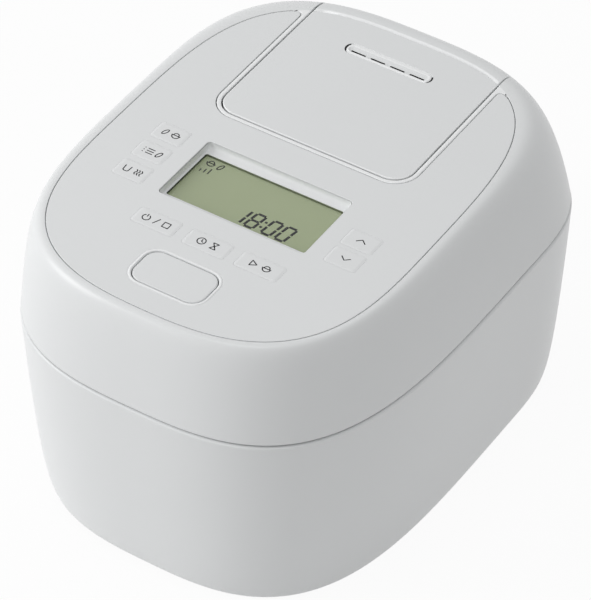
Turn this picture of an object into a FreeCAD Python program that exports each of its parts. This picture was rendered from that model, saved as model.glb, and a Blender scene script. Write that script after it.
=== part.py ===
import FreeCAD, Part
import math
import os

# Countertop induction rice cooker: hinged lid, recessed display, soft keys and a lift-off steam cap.
# Frame: X to the cooker's right, Y to its back, Z up, origin on the table under the middle of the rim.

# Outer form, in millimetres
overall_width = 240.0
overall_depth = 309.6
foot_height = 2.5
body_height = 125.5
seam_gap = 1.0
lid_height = 59.0
lid_set_back = 0.6
base_width = 217.0
base_front_tuck = 12.0
base_rear_tuck = 7.0
top_width = 199.6
top_front_tuck = 14.0
top_rear_tuck = 32.4
rim_widest_y = 60.0
top_widest_y = -15.6
body_corners = (2.95, 4.1, 2.5, 3.0)
top_corners = (2.64, 3.5, 3.4, 3.5)
body_fullness = 0.454
lid_fullness = 0.326
body_stations = (0.0, 0.02, 0.08, 0.2, 0.36, 0.56, 0.78, 1.0)
lid_stations = (0.0, 0.25, 0.5, 0.7, 0.84, 0.93, 0.98, 1.0)
outline_points = 40
outline_spread = 1.7
loft_degree = 3

# Walls and clearances
wall = 2.5
plate_fit = 0.5
lid_plate_fit = 1.6
seat_fit = 0.3
key_fit = 0.3
bore_fit = 0.05
press_bore_fit = 0.02

# Rim frame, pot, well and heater
deck_drop = 2.0
deck_thick = 3.0
deck_hole_gap = 4.5
pot_y = -4.0
pot_r = 92.5
pot_wall = 2.5
pot_corner = 40.0
pot_flange = 9.0
pot_flange_thick = 2.2
pot_lip_r = 0.7
pot_floor_z = 32.0
well_gap = 2.0
well_floor_gap = 3.0
well_wall = 2.5
coil_inner_r = 24.0
coil_outer_r = 72.0
coil_thick = 7.0
tray_r = 78.0
tray_thick = 2.5
tray_leg_r = 5.0
tray_leg_reach = 70.0
ferrite_count = 6
ferrite_width = 12.0
ferrite_thick = 5.0
ferrite_start_r = 35.0
sensor_r = 14.0
sensor_thick = 9.7
sensor_hole_gap = 2.0
sensor_stem_r = 5.0
sensor_stem = 8.0
sensor_spring_r = 8.0
spring_wire = 1.8

# Base, feet and electrics
base_thick = 3.0
foot_r = 9.0
foot_x = 75.0
foot_front_y = -100.0
foot_rear_y = 105.0
screw_r = 1.5
screw_head_r = 3.2
screw_head = 2.0
case_screw_length = 14.0
case_screw_x = 86.0
case_screw_front_y = -85.0
case_screw_rear_y = 92.0
boss_width = 10.0
boss_height = 18.0
fan_y = -98.0
fan_size = 50.0
fan_thick = 10.0
fan_bore_r = 23.5
fan_hub_r = 9.0
fan_tip_gap = 0.8
fan_blades = 7
fan_shaft_r = 1.0
fan_corner = 4.0
grille_slots = 7
grille_pitch = 6.25
grille_width = 3.1
fan_strut = 1.5
fan_arms = 3
blade_thick = 1.2
blade_tilt = 40.0
board_thick = 1.6
board_back_share = 11.0 / 19.3
board_width = 110.0
board_height = 80.0
board_rib = 14.5
board_rib_x = 40.0
sink_width = 56.0
sink_height = 50.0
sink_base = 3.0
sink_fin = 17.0
sink_fins = 7
sink_lift = 10.0
capacitor_r = 9.0
capacitor_length = 18.0
capacitor_x = 43.0
capacitor_rows = (22.0, 52.0)
inlet_z = 28.0
inlet_width = 30.0
inlet_height = 20.0
inlet_depth = 24.0
inlet_wall = 2.5
inlet_back = 5.0
inlet_flange = 3.0
inlet_recess = 1.0
inlet_pin_x = 7.5
inlet_pin_wide = 6.0
inlet_pin_thick = 1.5
inlet_pin_out = 12.0

# Lid hinge
hinge_inset = 12.0
hinge_rise = 8.0
hinge_pin_r = 2.0
knuckle_r = 5.5
relief_gap = 0.4
trough_r = 11.2
ear_x = 22.0
ear_width = 6.0
ear_r = 5.2
ear_side_gap = 0.4
knuckle_width = 9.0
hinge_pin_over = 1.6
bracket_thick = 1.2
bracket_front = 26.0
bracket_back = 12.0
bracket_slope = 6.0
hinge_spring_r = 3.9

# Lid underside
lid_plate_lift = 0.2
lid_plate_thick = 2.5
dome_wall = 2.5
dome_height = 12.8
gasket_thick = 6.4
gasket_lip_r = 2.1
inner_lid_thick = 1.2
inner_lid_edge_gap = 2.5
steam_y = 40.0
steam_r = 8.0
steam_pipe_wall = 2.0
lid_sensor_r = 5.0
lid_sensor_x = 34.0
lid_boss_r = 4.0
lid_boss_x = 98.0
lid_boss_y = 60.0
lid_screw_length = 12.0

# Control panel, display and keys
panel_thick = 2.0
panel_gap = 0.3
panel_land = 0.5
roof_floor = 2.5
display_y = -35.3
display_width = 92.0
display_depth = 49.3
display_corner = 2.5
display_sink = 5.0
screen_side = 2.7
screen_front = 6.35
screen_rear = 5.15
bezel_flange = 2.0
bezel_lip = 0.5
window_thick = 0.8
window_lap = 1.5
glass_thick = 3.0
backlight_thick = 1.0
control_board_width = 176.0
control_board_front = -91.0
control_board_rear = -4.0
board_post_r = 3.0
board_post_x = 84.0
board_post_front_y = -72.0
board_post_rear_y = -10.0
board_screw_length = 5.0
front_key_size = (26.5, 12.8)
side_key_size = (19.5, 14.0)
key_corner = 2.0
key_proud = 0.25
key_edge_r = 0.2
key_travel = 0.6
key_slack = 0.2
switch_size = 6.0
switch_height = 3.5
front_key_y = -80.3
front_key_pitch = 32.5
side_key_x = 66.4
side_key_pitch = 16.1
right_key_y = -35.2
left_key_y = -17.5
left_key_pitch = 18.0

# Lid button and latch
button_y = -110.8
button_width = 44.2
button_depth = 25.2
button_corner = 8.0
button_thick = 4.8
button_gap = 0.4
button_edge_r = 0.4
button_travel = 3.5
button_stem_width = 12.0
button_stem_depth = 5.0
button_stem = 23.2
guide_thick = 2.0
guide_width = 52.0
guide_depth = 31.0
guide_drop = 17.5
button_spring_r = 10.0
latch_y = -128.0
latch_rise = 19.0
latch_pin_r = 1.5
latch_hub_r = 4.5
latch_half = 6.0
latch_arm = 21.0
latch_ear_thick = 3.0
latch_ear_gap = 0.4
hook_thick = 4.0
hook_nose = 2.3
hook_nose_height = 3.7
hook_clear = 2.0
catch_depth = 4.0
catch_height = 4.0
catch_half = 12.0

# Steam cap
cap_width = 121.4
cap_front_y = 14.5
cap_corner = 12.5
cap_gap = 0.4
cap_strip = 3.0
cap_skin = 2.2
cap_well = 26.0
cap_lift_gap = 0.3
cap_skirt_gap = 1.5
cap_base_thick = 2.0
cap_gasket_width = 4.0
cap_gasket_thick = 1.2
vent_y = 98.0
vent_length = 56.0
vent_width = 9.5
vent_sink = 3.0
vent_floor = 1.6
slit_count = 4
slit_length = 10.0
slit_width = 1.4
slit_rib = 3.9
slit_inset = 2.8

# Heights and places worked out from the values above
half_width = overall_width / 2
rim_front = -overall_depth / 2
rim_rear = overall_depth / 2
rim_z = foot_height + body_height
lid_z = rim_z + seam_gap
top_z = lid_z + lid_height
deck_top = rim_z - deck_drop
deck_low = deck_top - deck_thick
base_top = foot_height + base_thick
flange_low = deck_top + seat_fit
flange_top = flange_low + pot_flange_thick
deck_hole_r = pot_r + deck_hole_gap
pot_flange_r = pot_r + pot_flange
well_flange_r = (deck_hole_r + half_width - wall - plate_fit) / 2
well_r = pot_r + well_gap
well_floor = pot_floor_z - well_floor_gap
well_low = well_floor - well_wall
well_front = pot_y - well_r - well_wall
bay_room = well_front - (rim_front + base_front_tuck + wall) - sink_base - sink_fin
board_front = well_front - bay_room * board_back_share
tray_top = well_low - seat_fit - coil_thick
tray_low = tray_top - tray_thick
hinge_y = rim_rear - hinge_inset
hinge_z = rim_z + hinge_rise
hinge_pin_half = ear_x + ear_width / 2 + ear_side_gap + knuckle_width + hinge_pin_over
relief_r = hinge_rise - relief_gap
hinge_spring_half = ear_x - ear_width / 2 - ear_side_gap - knuckle_width - seat_fit
plate_low = lid_z + lid_plate_lift
plate_top = plate_low + lid_plate_thick
dome_top = plate_low + dome_height
dome_low = dome_top - dome_wall
dome_r = pot_flange_r + inner_lid_edge_gap + dome_wall
inner_lid_low = flange_top + seat_fit + gasket_thick
inner_lid_top = inner_lid_low + inner_lid_thick
panel_low = top_z - panel_thick
roof_low = panel_low - roof_floor
screen_width = display_width - 2 * screen_side
screen_depth = display_depth - screen_front - screen_rear
screen_y = display_y + (screen_front - screen_rear) / 2
window_top = top_z - display_sink
window_low = window_top - window_thick
glass_low = window_low - glass_thick
control_board_top = glass_low - backlight_thick
control_board_low = control_board_top - board_thick
switch_top = control_board_top + switch_height
cap_floor = top_z - cap_well
cap_tub_low = cap_floor - roof_floor
cap_base_low = cap_floor + cap_lift_gap + cap_gasket_thick
cap_skirt = cap_floor + cap_skirt_gap
latch_z = plate_top + latch_rise
hook_low = deck_low - catch_height - seat_fit - hook_nose_height
stem_reach = button_y - button_stem_depth / 2 - latch_y
hook_swing = button_travel * (latch_z - deck_low) / stem_reach + hook_clear
slot_front = latch_y - hook_thick / 2 - hook_swing
slot_half = latch_half + latch_ear_gap
catch_front = latch_y + hook_thick / 2 + hook_nose + seat_fit
stem_low = top_z - button_thick - button_stem
tiny = 0.001
far = 2 * overall_depth


def vec(x, y, z):
    return FreeCAD.Vector(x, y, z)


def box(x0, x1, y0, y1, z0, z1):
    return Part.makeBox(x1 - x0, y1 - y0, z1 - z0, vec(x0, y0, z0))


def rod(radius, z0, z1, x=0.0, y=0.0):
    return Part.makeCylinder(radius, z1 - z0, vec(x, y, z0))


def ring(outer, inner, z0, z1, x=0.0, y=0.0):
    return rod(outer, z0, z1, x, y).cut(rod(inner, z0, z1, x, y))


def cross_rod(radius, x0, x1, y, z):
    return Part.makeCylinder(radius, x1 - x0, vec(x0, y, z), vec(1, 0, 0))


def upright_edges(shape):
    boxes = [(e, e.BoundBox) for e in shape.Edges]
    return [e for e, b in boxes if b.ZLength > tiny and b.XLength < tiny and b.YLength < tiny]


def pad(x, y, width, depth, corner, z0, z1):
    """Block with rounded upright corners, centred on x, y."""
    block = box(x - width / 2, x + width / 2, y - depth / 2, y + depth / 2, z0, z1)
    return block.makeFillet(corner, upright_edges(block))


def cup(radius, corner, z0, z1, y):
    """Upright round solid with a rounded lower edge: the outside or the inside of a pot."""
    body = rod(radius, z0, z1, 0.0, y)
    return body.makeFillet(corner, [e for e in body.Edges if e.BoundBox.ZMax < z0 + tiny])


def side_profile(points, x0, x1):
    """Block whose side view is a polygon of y, z points, from x0 to x1."""
    corners = [vec(x0, y, z) for y, z in points]
    return Part.Face(Part.makePolygon(corners + corners[:1])).extrude(vec(x1 - x0, 0, 0))


def group(solids):
    return Part.makeCompound(solids)


def fuse(first, *others):
    return first.multiFuse(list(others)).removeSplitter()


# A plan is half width, front y, rear y, y of the widest place, and the corner exponents.
rim_plan = (half_width, rim_front, rim_rear, rim_widest_y, body_corners)
base_plan = (base_width / 2, rim_front + base_front_tuck, rim_rear - base_rear_tuck,
             rim_widest_y, body_corners)
top_plan = (top_width / 2, rim_front + top_front_tuck, rim_rear - top_rear_tuck,
            top_widest_y, top_corners)


def inset(plan, distance):
    half, front, rear, middle, corners = plan
    return (half - distance, front + distance, rear - distance, middle, corners)


def outline(plan):
    """Points round a superellipse whose front and rear halves have their own corners."""
    half, front, rear, middle, (front_x, front_y, rear_x, rear_y) = plan
    points = []
    for i in range(outline_points):
        turn = 2 * math.pi * i / outline_points
        c = abs(math.cos(turn)) ** outline_spread
        s = abs(math.sin(turn)) ** outline_spread
        length = math.hypot(c, s)
        behind = math.sin(turn) >= 0
        across = (c / length) ** (2 / (rear_x if behind else front_x))
        along = (s / length) ** (2 / (rear_y if behind else front_y))
        x = math.copysign(half * across, math.cos(turn))
        y = middle + (rear - middle if behind else front - middle) * along
        points.append((x, y))
    return points


def chord_lengths(points):
    """Distance along the closed outline from its first point to each point and back to the first."""
    lengths = [0.0]
    for (x0, y0), (x1, y1) in zip(points, points[1:] + points[:1]):
        lengths.append(lengths[-1] + math.hypot(x1 - x0, y1 - y0))
    return lengths


def section(points, lengths, z):
    curve = Part.BSplineCurve()
    curve.interpolate(Points=[vec(x, y, z) for x, y in points], PeriodicFlag=True, Parameters=lengths)
    return Part.Wire(curve.toShape())


def prism(plan, z0, z1):
    points = outline(plan)
    return Part.Face(section(points, chord_lengths(points), z0)).extrude(vec(0, 0, z1 - z0))


def blended(low, high, share):
    pairs = zip(outline(low), outline(high))
    return [(a + (c - a) * share, b + (d - b) * share) for (a, b), (c, d) in pairs]


def body_form(skin):
    """Solid of the lower body, moved in by skin: a tapered tub with a tucked-in lower edge."""
    low = inset(base_plan, skin)
    high = inset(rim_plan, skin)
    lengths = chord_lengths(outline(high))
    cuts = [section(blended(low, high, v ** body_fullness), lengths, foot_height + v * body_height)
            for v in body_stations]
    return Part.makeLoft(cuts, True, False, False, loft_degree)


def lid_form(skin, drop):
    """Solid of the lid, moved in by skin and lowered by drop: walls that lean in to a rounded shoulder."""
    low = inset(rim_plan, lid_set_back + skin)
    high = inset(top_plan, skin)
    rise = lid_height - drop
    lengths = chord_lengths(outline(high))
    cuts = [section(blended(high, low, (1 - v) ** lid_fullness), lengths, lid_z + v * rise)
            for v in lid_stations]
    form = Part.makeLoft(cuts, True, False, False, loft_degree)
    return form.common(box(-far, far, -far, far, lid_z, lid_z + rise))


def cap_block(grow, z0, z1):
    """Plan of the steam cap grown all round: round front corners, open past the lid's rear."""
    front = cap_front_y - grow
    depth = far - front
    block = box(-cap_width / 2 - grow, cap_width / 2 + grow, front, front + depth, z0, z1)
    corners = [e for e in upright_edges(block) if e.BoundBox.YMax < front + tiny]
    return block.makeFillet(cap_corner + grow, corners)


# Keys: name, x, y and size
keys = [("key_" + word, front_key_pitch * i, front_key_y, front_key_size)
        for i, word in ((-1, "cancel"), (0, "timer"), (1, "cook"))]
keys += [("key_" + word, side_key_x, right_key_y - side_key_pitch * i, side_key_size)
         for i, word in enumerate(("up", "down"))]
keys += [("key_" + word, -side_key_x, left_key_y - left_key_pitch * i, side_key_size)
         for i, word in enumerate(("rice", "menu", "warm"))]



def four_places(x, front_y, rear_y):
    return [(side * x, y) for y in (front_y, rear_y) for side in (-1, 1)]


case_screw_places = four_places(case_screw_x, case_screw_front_y, case_screw_rear_y)
lid_screw_places = four_places(lid_boss_x, -lid_boss_y, lid_boss_y)
board_screw_places = four_places(board_post_x, board_post_front_y, board_post_rear_y)


def screw(x, y, head_low, length):
    """Pan head screw that points up, with its head's lower face at head_low."""
    return fuse(rod(screw_head_r, head_low, head_low + screw_head, x, y),
                rod(screw_r, head_low + screw_head, head_low + screw_head + length, x, y))


def screw_hole(x, y, z0, z1):
    return rod(screw_r + bore_fit, z0, z1, x, y)


def hinge_relief():
    """Space behind and below the hinge axis that the lid keeps out of, so that it can swing down."""
    quarter = box(-far, far, hinge_y, far, lid_z - seam_gap, hinge_z)
    return quarter.cut(cross_rod(relief_r, -far, far, hinge_y, hinge_z))


# Lower body
body_outer = body_form(0.0)


def body_shell():
    shell = body_outer.cut(body_form(wall))
    bosses = []
    for x, y in case_screw_places:
        side = math.copysign(1.0, x)
        lo, hi = sorted((x - side * boss_width / 2, x + side * (half_width - abs(x))))
        boss = box(lo, hi, y - boss_width / 2, y + boss_width / 2, base_top, base_top + boss_height)
        bosses.append(boss.common(body_outer))
    cutters = [screw_hole(x, y, foot_height, base_top + case_screw_length) for x, y in case_screw_places]
    cutters.append(box(-inlet_width / 2, inlet_width / 2, inlet_face() - inlet_depth, far,
                       inlet_z - inlet_height / 2, inlet_z + inlet_height / 2))
    return shell.multiFuse(bosses).cut(cutters)


def base_plate():
    plate = prism(inset(base_plan, wall + plate_fit), foot_height, base_top)
    half = boss_width / 2
    for x in (-board_rib_x, board_rib_x):
        rib = box(x - half, x + half, board_front - half, board_front + half,
                  base_top, base_top + board_rib)
        plate = plate.fuse(rib)
    cutters = []
    for x, y in case_screw_places:
        cutters.append(screw_hole(x, y, foot_height, base_top))
        cutters.append(rod(screw_head_r + seat_fit, foot_height, foot_height + screw_head, x, y))
    for i in range(grille_slots):
        x = (i - (grille_slots - 1) / 2) * grille_pitch
        half = math.sqrt(fan_bore_r ** 2 - x ** 2) - grille_width
        cutters.append(box(x - grille_width / 2, x + grille_width / 2, fan_y - half, fan_y + half,
                           foot_height, base_top))
    return plate.cut(cutters)


def rubber_feet():
    places = four_places(foot_x, foot_front_y, foot_rear_y)
    return group([rod(foot_r, 0.0, foot_height, x, y) for x, y in places])


def case_screws():
    return group([screw(x, y, foot_height, case_screw_length - screw_head) for x, y in case_screw_places])


def rim_frame():
    deck = prism(inset(rim_plan, wall + plate_fit), deck_low, deck_top)
    deck = deck.cut(rod(deck_hole_r, deck_low, deck_top, 0.0, pot_y))
    slot = box(-slot_half, slot_half, slot_front, catch_front, deck_low, deck_top)
    trough = cross_rod(trough_r, -half_width, half_width, hinge_y, hinge_z)
    return deck.cut([slot, trough])


def latch_catch():
    return box(-catch_half, catch_half, catch_front, catch_front + catch_depth,
               deck_low - catch_height, deck_low)


# Pot, well and heater
def pot_well():
    shell = cup(well_r + well_wall, pot_corner + well_gap + well_wall, well_low, deck_low, pot_y)
    flange = rod(well_flange_r, deck_low - well_wall, deck_low, 0.0, pot_y)
    hollow = cup(well_r, pot_corner + well_gap, well_floor, deck_low, pot_y)
    sensor_hole = rod(sensor_r + sensor_hole_gap, well_low, well_floor, 0.0, pot_y)
    return fuse(shell, flange).cut([hollow, sensor_hole])


def inner_pot():
    shell = cup(pot_r, pot_corner, pot_floor_z, flange_top, pot_y)
    flange = rod(pot_flange_r, flange_low, flange_top, 0.0, pot_y)
    hollow = cup(pot_r - pot_wall, pot_corner - pot_wall, pot_floor_z + pot_wall, flange_top, pot_y)
    pot = fuse(shell, flange).cut(hollow)
    lip = [e for e in pot.Edges if e.BoundBox.ZMin > flange_low - tiny and e.BoundBox.XMax > deck_hole_r]
    return pot.makeFillet(pot_lip_r, lip)


def coil_tray():
    plate = ring(tray_r, coil_inner_r - sensor_hole_gap, tray_low, tray_top, 0.0, pot_y)
    legs = []
    for i in range(4):
        turn = math.pi / 4 + i * math.pi / 2
        x = tray_leg_reach * math.cos(turn)
        y = pot_y + tray_leg_reach * math.sin(turn)
        legs.append(rod(tray_leg_r, base_top, tray_low, x, y))
    return fuse(plate, *legs)


def work_coil():
    return ring(coil_outer_r, coil_inner_r, tray_top, tray_top + coil_thick, 0.0, pot_y)


def ferrite_bars():
    bars = []
    for i in range(ferrite_count):
        bar = box(ferrite_start_r, coil_outer_r, -ferrite_width / 2, ferrite_width / 2,
                  tray_low - ferrite_thick, tray_low)
        bar.rotate(vec(0, 0, 0), vec(0, 0, 1), 360.0 * i / ferrite_count)
        bar.translate(vec(0, pot_y, 0))
        bars.append(bar)
    return group(bars)


def pot_sensor():
    top = pot_floor_z - seat_fit
    head = rod(sensor_r, top - sensor_thick, top, 0.0, pot_y)
    stem = rod(sensor_stem_r, top - sensor_thick - sensor_stem, top - sensor_thick, 0.0, pot_y)
    return fuse(head, stem)


def sensor_spring():
    top = pot_floor_z - seat_fit - sensor_thick
    return ring(sensor_spring_r, sensor_spring_r - spring_wire, base_top, top, 0.0, pot_y)


# Electrics in the base
def power_board():
    low = base_top + board_rib
    return box(-board_width / 2, board_width / 2, board_front, board_front + board_thick,
               low, low + board_height)


def heat_sink():
    low = base_top + board_rib + sink_lift
    back = board_front - sink_base
    sink = box(-sink_width / 2, sink_width / 2, back, board_front, low, low + sink_height)
    pitch = (sink_width - sink_base) / (sink_fins - 1)
    fins = []
    for i in range(sink_fins):
        x = -sink_width / 2 + i * pitch
        fins.append(box(x, x + sink_base, back - sink_fin, back, low, low + sink_height))
    return fuse(sink, *fins)


def filter_capacitors():
    low = base_top + board_rib
    cans = []
    for side in (-1, 1):
        for row in capacitor_rows:
            place = vec(side * capacitor_x, board_front - capacitor_length, low + row)
            cans.append(Part.makeCylinder(capacitor_r, capacitor_length, place, vec(0, 1, 0)))
    return group(cans)


def fan_frame():
    top = base_top + fan_thick
    frame = pad(0.0, fan_y, fan_size, fan_size, fan_corner, base_top, top)
    frame = frame.cut(rod(fan_bore_r, base_top, top, 0.0, fan_y))
    spider = [rod(fan_hub_r, base_top, base_top + fan_strut, 0.0, fan_y)]
    for i in range(fan_arms):
        arm = box(0.0, fan_size / 2 - tiny, -fan_strut, fan_strut, base_top, base_top + fan_strut)
        arm.rotate(vec(0, 0, 0), vec(0, 0, 1), 360.0 * i / fan_arms)
        arm.translate(vec(0, fan_y, 0))
        spider.append(arm)
    shaft = rod(fan_shaft_r, base_top + fan_strut, top - fan_strut, 0.0, fan_y)
    return fuse(frame, *spider, shaft)


def fan_impeller():
    low = base_top + fan_strut + seat_fit
    top = base_top + fan_thick - seat_fit
    wheel = rod(fan_hub_r, low, top, 0.0, fan_y)
    tip = fan_bore_r - fan_tip_gap
    blades = []
    for i in range(fan_blades):
        blade = box(fan_hub_r - blade_thick, fan_bore_r, -blade_thick / 2, blade_thick / 2,
                    low - fan_thick, top + fan_thick)
        blade.rotate(vec(0, 0, (low + top) / 2), vec(1, 0, 0), blade_tilt)
        blade.rotate(vec(0, 0, 0), vec(0, 0, 1), 360.0 * i / fan_blades)
        blade.translate(vec(0, fan_y, 0))
        blades.append(blade.common(rod(tip, low, top, 0.0, fan_y)))
    bore = rod(fan_shaft_r + bore_fit, low, top, 0.0, fan_y)
    return fuse(wheel, *blades).cut(bore)


def inlet_face():
    """Outer face of the inlet, set back in its hole in the shell's rear wall."""
    share = ((inlet_z - foot_height) / body_height) ** body_fullness
    return rim_rear - base_rear_tuck * (1 - share) - inlet_recess


def power_inlet():
    face = inlet_face()
    back = face - inlet_depth
    across = inlet_width / 2 - seat_fit
    upright = inlet_height / 2 - seat_fit
    block = box(-across, across, back, face, inlet_z - upright, inlet_z + upright)
    foot = box(-across, across, back, back + inlet_flange, base_top, inlet_z)
    across -= inlet_wall
    upright -= inlet_wall
    hollow = box(-across, across, back + inlet_back, face, inlet_z - upright, inlet_z + upright)
    return fuse(block, foot).cut([hollow, inlet_pin(-1, press_bore_fit), inlet_pin(1, press_bore_fit)])


def inlet_pin(side, grow):
    back = inlet_face() - inlet_depth
    x = side * inlet_pin_x
    return box(x - inlet_pin_thick / 2 - grow, x + inlet_pin_thick / 2 + grow,
               back - inlet_flange, back + inlet_back + inlet_pin_out,
               inlet_z - inlet_pin_wide / 2 - grow, inlet_z + inlet_pin_wide / 2 + grow)


def inlet_pins():
    return group([inlet_pin(side, 0.0) for side in (-1, 1)])


# Lid hinge
def hinge_bracket():
    half = ear_x + ear_width / 2
    front = hinge_y - bracket_front
    back = hinge_y - bracket_back
    foot = box(-half, half, front, back, deck_top, deck_top + bracket_thick)
    ears = []
    low = deck_top + bracket_thick / 2
    for side in (-1, 1):
        x0 = side * ear_x - ear_width / 2
        eye = cross_rod(ear_r, x0, x0 + ear_width, hinge_y, hinge_z)
        neck = side_profile([(hinge_y, hinge_z + ear_r - bracket_thick / 2), (front + bracket_slope, low),
                             (back, low), (hinge_y, hinge_z - ear_r / 2)], x0, x0 + ear_width)
        ears += [eye, neck]
    return fuse(foot, *ears).cut(cross_rod(hinge_pin_r + press_bore_fit, -far, far, hinge_y, hinge_z))


def hinge_pin():
    return cross_rod(hinge_pin_r, -hinge_pin_half, hinge_pin_half, hinge_y, hinge_z)


def hinge_spring():
    tube = cross_rod(hinge_spring_r, -hinge_spring_half, hinge_spring_half, hinge_y, hinge_z)
    return tube.cut(cross_rod(hinge_pin_r + seat_fit, -far, far, hinge_y, hinge_z))


# Lid shell and underside
lid_outer = lid_form(0.0, 0.0)


def lid_shell():
    roof = panel_thick + roof_floor
    shell = lid_outer.cut(lid_form(wall, roof))
    tub = lid_outer.common(cap_block(cap_gap + wall, cap_tub_low, top_z))
    shell = shell.fuse(tub)
    posts = [rod(lid_boss_r, plate_top, roof_low, x, y) for x, y in lid_screw_places]
    posts += [rod(board_post_r, control_board_top, roof_low, x, y) for x, y in board_screw_places]
    recess = prism(inset(top_plan, panel_land), panel_low, top_z + wall)
    recess = recess.cut(cap_block(cap_gap + cap_strip, panel_low, top_z + wall))
    shell = shell.multiFuse(posts).cut([cap_block(cap_gap, cap_floor, top_z + wall), recess])
    openings = [pad(0.0, display_y, display_width + 2 * bezel_flange, display_depth + 2 * bezel_flange,
                    display_corner, roof_low, panel_low)]
    openings.append(pad(0.0, button_y, button_width + 2 * button_gap, button_depth + 2 * button_gap,
                        button_corner + button_gap, roof_low, panel_low))
    for name, x, y, (width, depth) in keys:
        openings.append(pad(x, y, width + 2 * key_fit, depth + 2 * key_fit, key_corner,
                            roof_low, panel_low))
    openings.append(rod(steam_r, cap_tub_low, cap_floor, 0.0, steam_y))
    openings += [screw_hole(x, y, plate_top, plate_top + lid_screw_length) for x, y in lid_screw_places]
    openings += [screw_hole(x, y, control_board_top, roof_low) for x, y in board_screw_places]
    openings.append(hinge_relief())
    return shell.cut(openings)


def lid_frame():
    plate = prism(inset(rim_plan, lid_set_back + wall + lid_plate_fit), plate_low, plate_top)
    plate = plate.cut(rod(dome_r - dome_wall, plate_low, plate_top, 0.0, pot_y))
    wall_ring = ring(dome_r, dome_r - dome_wall, plate_low, dome_top, 0.0, pot_y)
    dome = rod(dome_r, dome_low, dome_top, 0.0, pot_y)
    solids = [wall_ring, dome]
    for side in (-1, 1):
        lo, hi = sorted((side * slot_half, side * (slot_half + latch_ear_thick)))
        solids.append(box(lo, hi, latch_y - latch_hub_r, latch_y + latch_hub_r,
                          plate_top, latch_z + latch_hub_r))
    for x0 in knuckle_starts():
        solids.append(cross_rod(knuckle_r, x0, x0 + knuckle_width, hinge_y, hinge_z))
    frame = fuse(plate, *solids)
    cutters = [box(-slot_half, slot_half, slot_front, catch_front, plate_low, plate_top)]
    half = ear_width / 2 + ear_side_gap
    for x in (-ear_x, ear_x):
        cutters.append(box(x - half, x + half, hinge_y - bracket_front, far, plate_low, top_z))
    cutters.append(cross_rod(latch_pin_r + press_bore_fit, -far, far, latch_y, latch_z))
    cutters.append(cross_rod(hinge_pin_r + bore_fit, -far, far, hinge_y, hinge_z))
    cutters.append(rod(steam_r, dome_low, dome_top, 0.0, steam_y))
    cutters += [screw_hole(x, y, plate_low, plate_top) for x, y in lid_screw_places]
    cutters.append(hinge_relief())
    return frame.cut(cutters)


def knuckle_starts():
    """Left ends of the lid's hinge knuckles, one each side of both ears."""
    reach = ear_width / 2 + ear_side_gap
    return [x for side in (-1, 1) for x in (side * ear_x - reach - knuckle_width, side * ear_x + reach)]


def lid_screws():
    return group([screw(x, y, plate_low - screw_head, lid_screw_length - screw_head + lid_plate_thick)
                  for x, y in lid_screw_places])


def inner_lid():
    disc = rod(dome_r - dome_wall - inner_lid_edge_gap, inner_lid_low, inner_lid_top, 0.0, pot_y)
    collar = rod(steam_r + steam_pipe_wall, inner_lid_top, dome_low, 0.0, steam_y)
    return fuse(disc, collar).cut(rod(steam_r, inner_lid_low, dome_low, 0.0, steam_y))


def inner_lid_gasket():
    low = flange_top + seat_fit
    seal = ring(dome_r - dome_wall - inner_lid_edge_gap, pot_r, low, inner_lid_low, 0.0, pot_y)
    lip = [e for e in seal.Edges if e.BoundBox.ZMax < low + tiny]
    return seal.makeFillet(gasket_lip_r, lip)


def steam_pipe():
    outer = steam_r + steam_pipe_wall
    pipe = rod(outer, dome_top, cap_tub_low, 0.0, steam_y)
    flange = rod(outer + steam_pipe_wall, dome_top, dome_top + steam_pipe_wall, 0.0, steam_y)
    return fuse(pipe, flange).cut(rod(steam_r, dome_top, cap_tub_low, 0.0, steam_y))


def lid_sensor():
    return rod(lid_sensor_r, inner_lid_top + seat_fit, dome_low, lid_sensor_x, pot_y)


# Control panel, display and keys
def control_panel():
    openings = [cap_block(cap_gap + cap_strip + panel_gap, panel_low, top_z)]
    openings.append(pad(0.0, display_y, display_width, display_depth, display_corner, panel_low, top_z))
    openings.append(pad(0.0, button_y, button_width + 2 * button_gap, button_depth + 2 * button_gap,
                        button_corner + button_gap, panel_low, top_z))
    for name, x, y, (width, depth) in keys:
        openings.append(pad(x, y, width + 2 * key_fit, depth + 2 * key_fit, key_corner,
                            panel_low, top_z))
    return prism(inset(top_plan, panel_land + panel_gap), panel_low, top_z).cut(openings)


def rectangle(width, depth, y, z):
    corners = [vec(-width / 2, y - depth / 2, z), vec(width / 2, y - depth / 2, z),
               vec(width / 2, y + depth / 2, z), vec(-width / 2, y + depth / 2, z)]
    return Part.makePolygon(corners + corners[:1])


def display_bezel():
    fit = 2 * press_bore_fit
    lap = 2 * bezel_flange - fit
    flange = pad(0.0, display_y, display_width + lap, display_depth + lap, display_corner,
                 window_top, panel_low)
    neck = pad(0.0, display_y, display_width - fit, display_depth - fit, display_corner, panel_low, top_z)
    mouth = rectangle(display_width - 2 * bezel_lip, display_depth - 2 * bezel_lip, display_y, top_z)
    funnel = Part.makeLoft([rectangle(screen_width, screen_depth, screen_y, window_top), mouth], True, True)
    return fuse(flange, neck).cut(funnel)


def screen_sheet(lap, z0, z1):
    """Flat sheet under the bezel, larger than the visible screen by lap all round."""
    across = screen_width / 2 + lap
    along = screen_depth / 2 + lap
    return box(-across, across, screen_y - along, screen_y + along, z0, z1)


def display_window():
    return screen_sheet(window_lap, window_low, window_top)


def display_glass():
    return screen_sheet(window_lap, glass_low, window_low)


def display_backlight():
    return screen_sheet(0.0, control_board_top, glass_low)


def control_board():
    half = control_board_width / 2
    board = box(-half, half, control_board_front, control_board_rear, control_board_low, control_board_top)
    for x, y in board_screw_places:
        board = board.cut(screw_hole(x, y, control_board_low, control_board_top))
    return board


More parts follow.
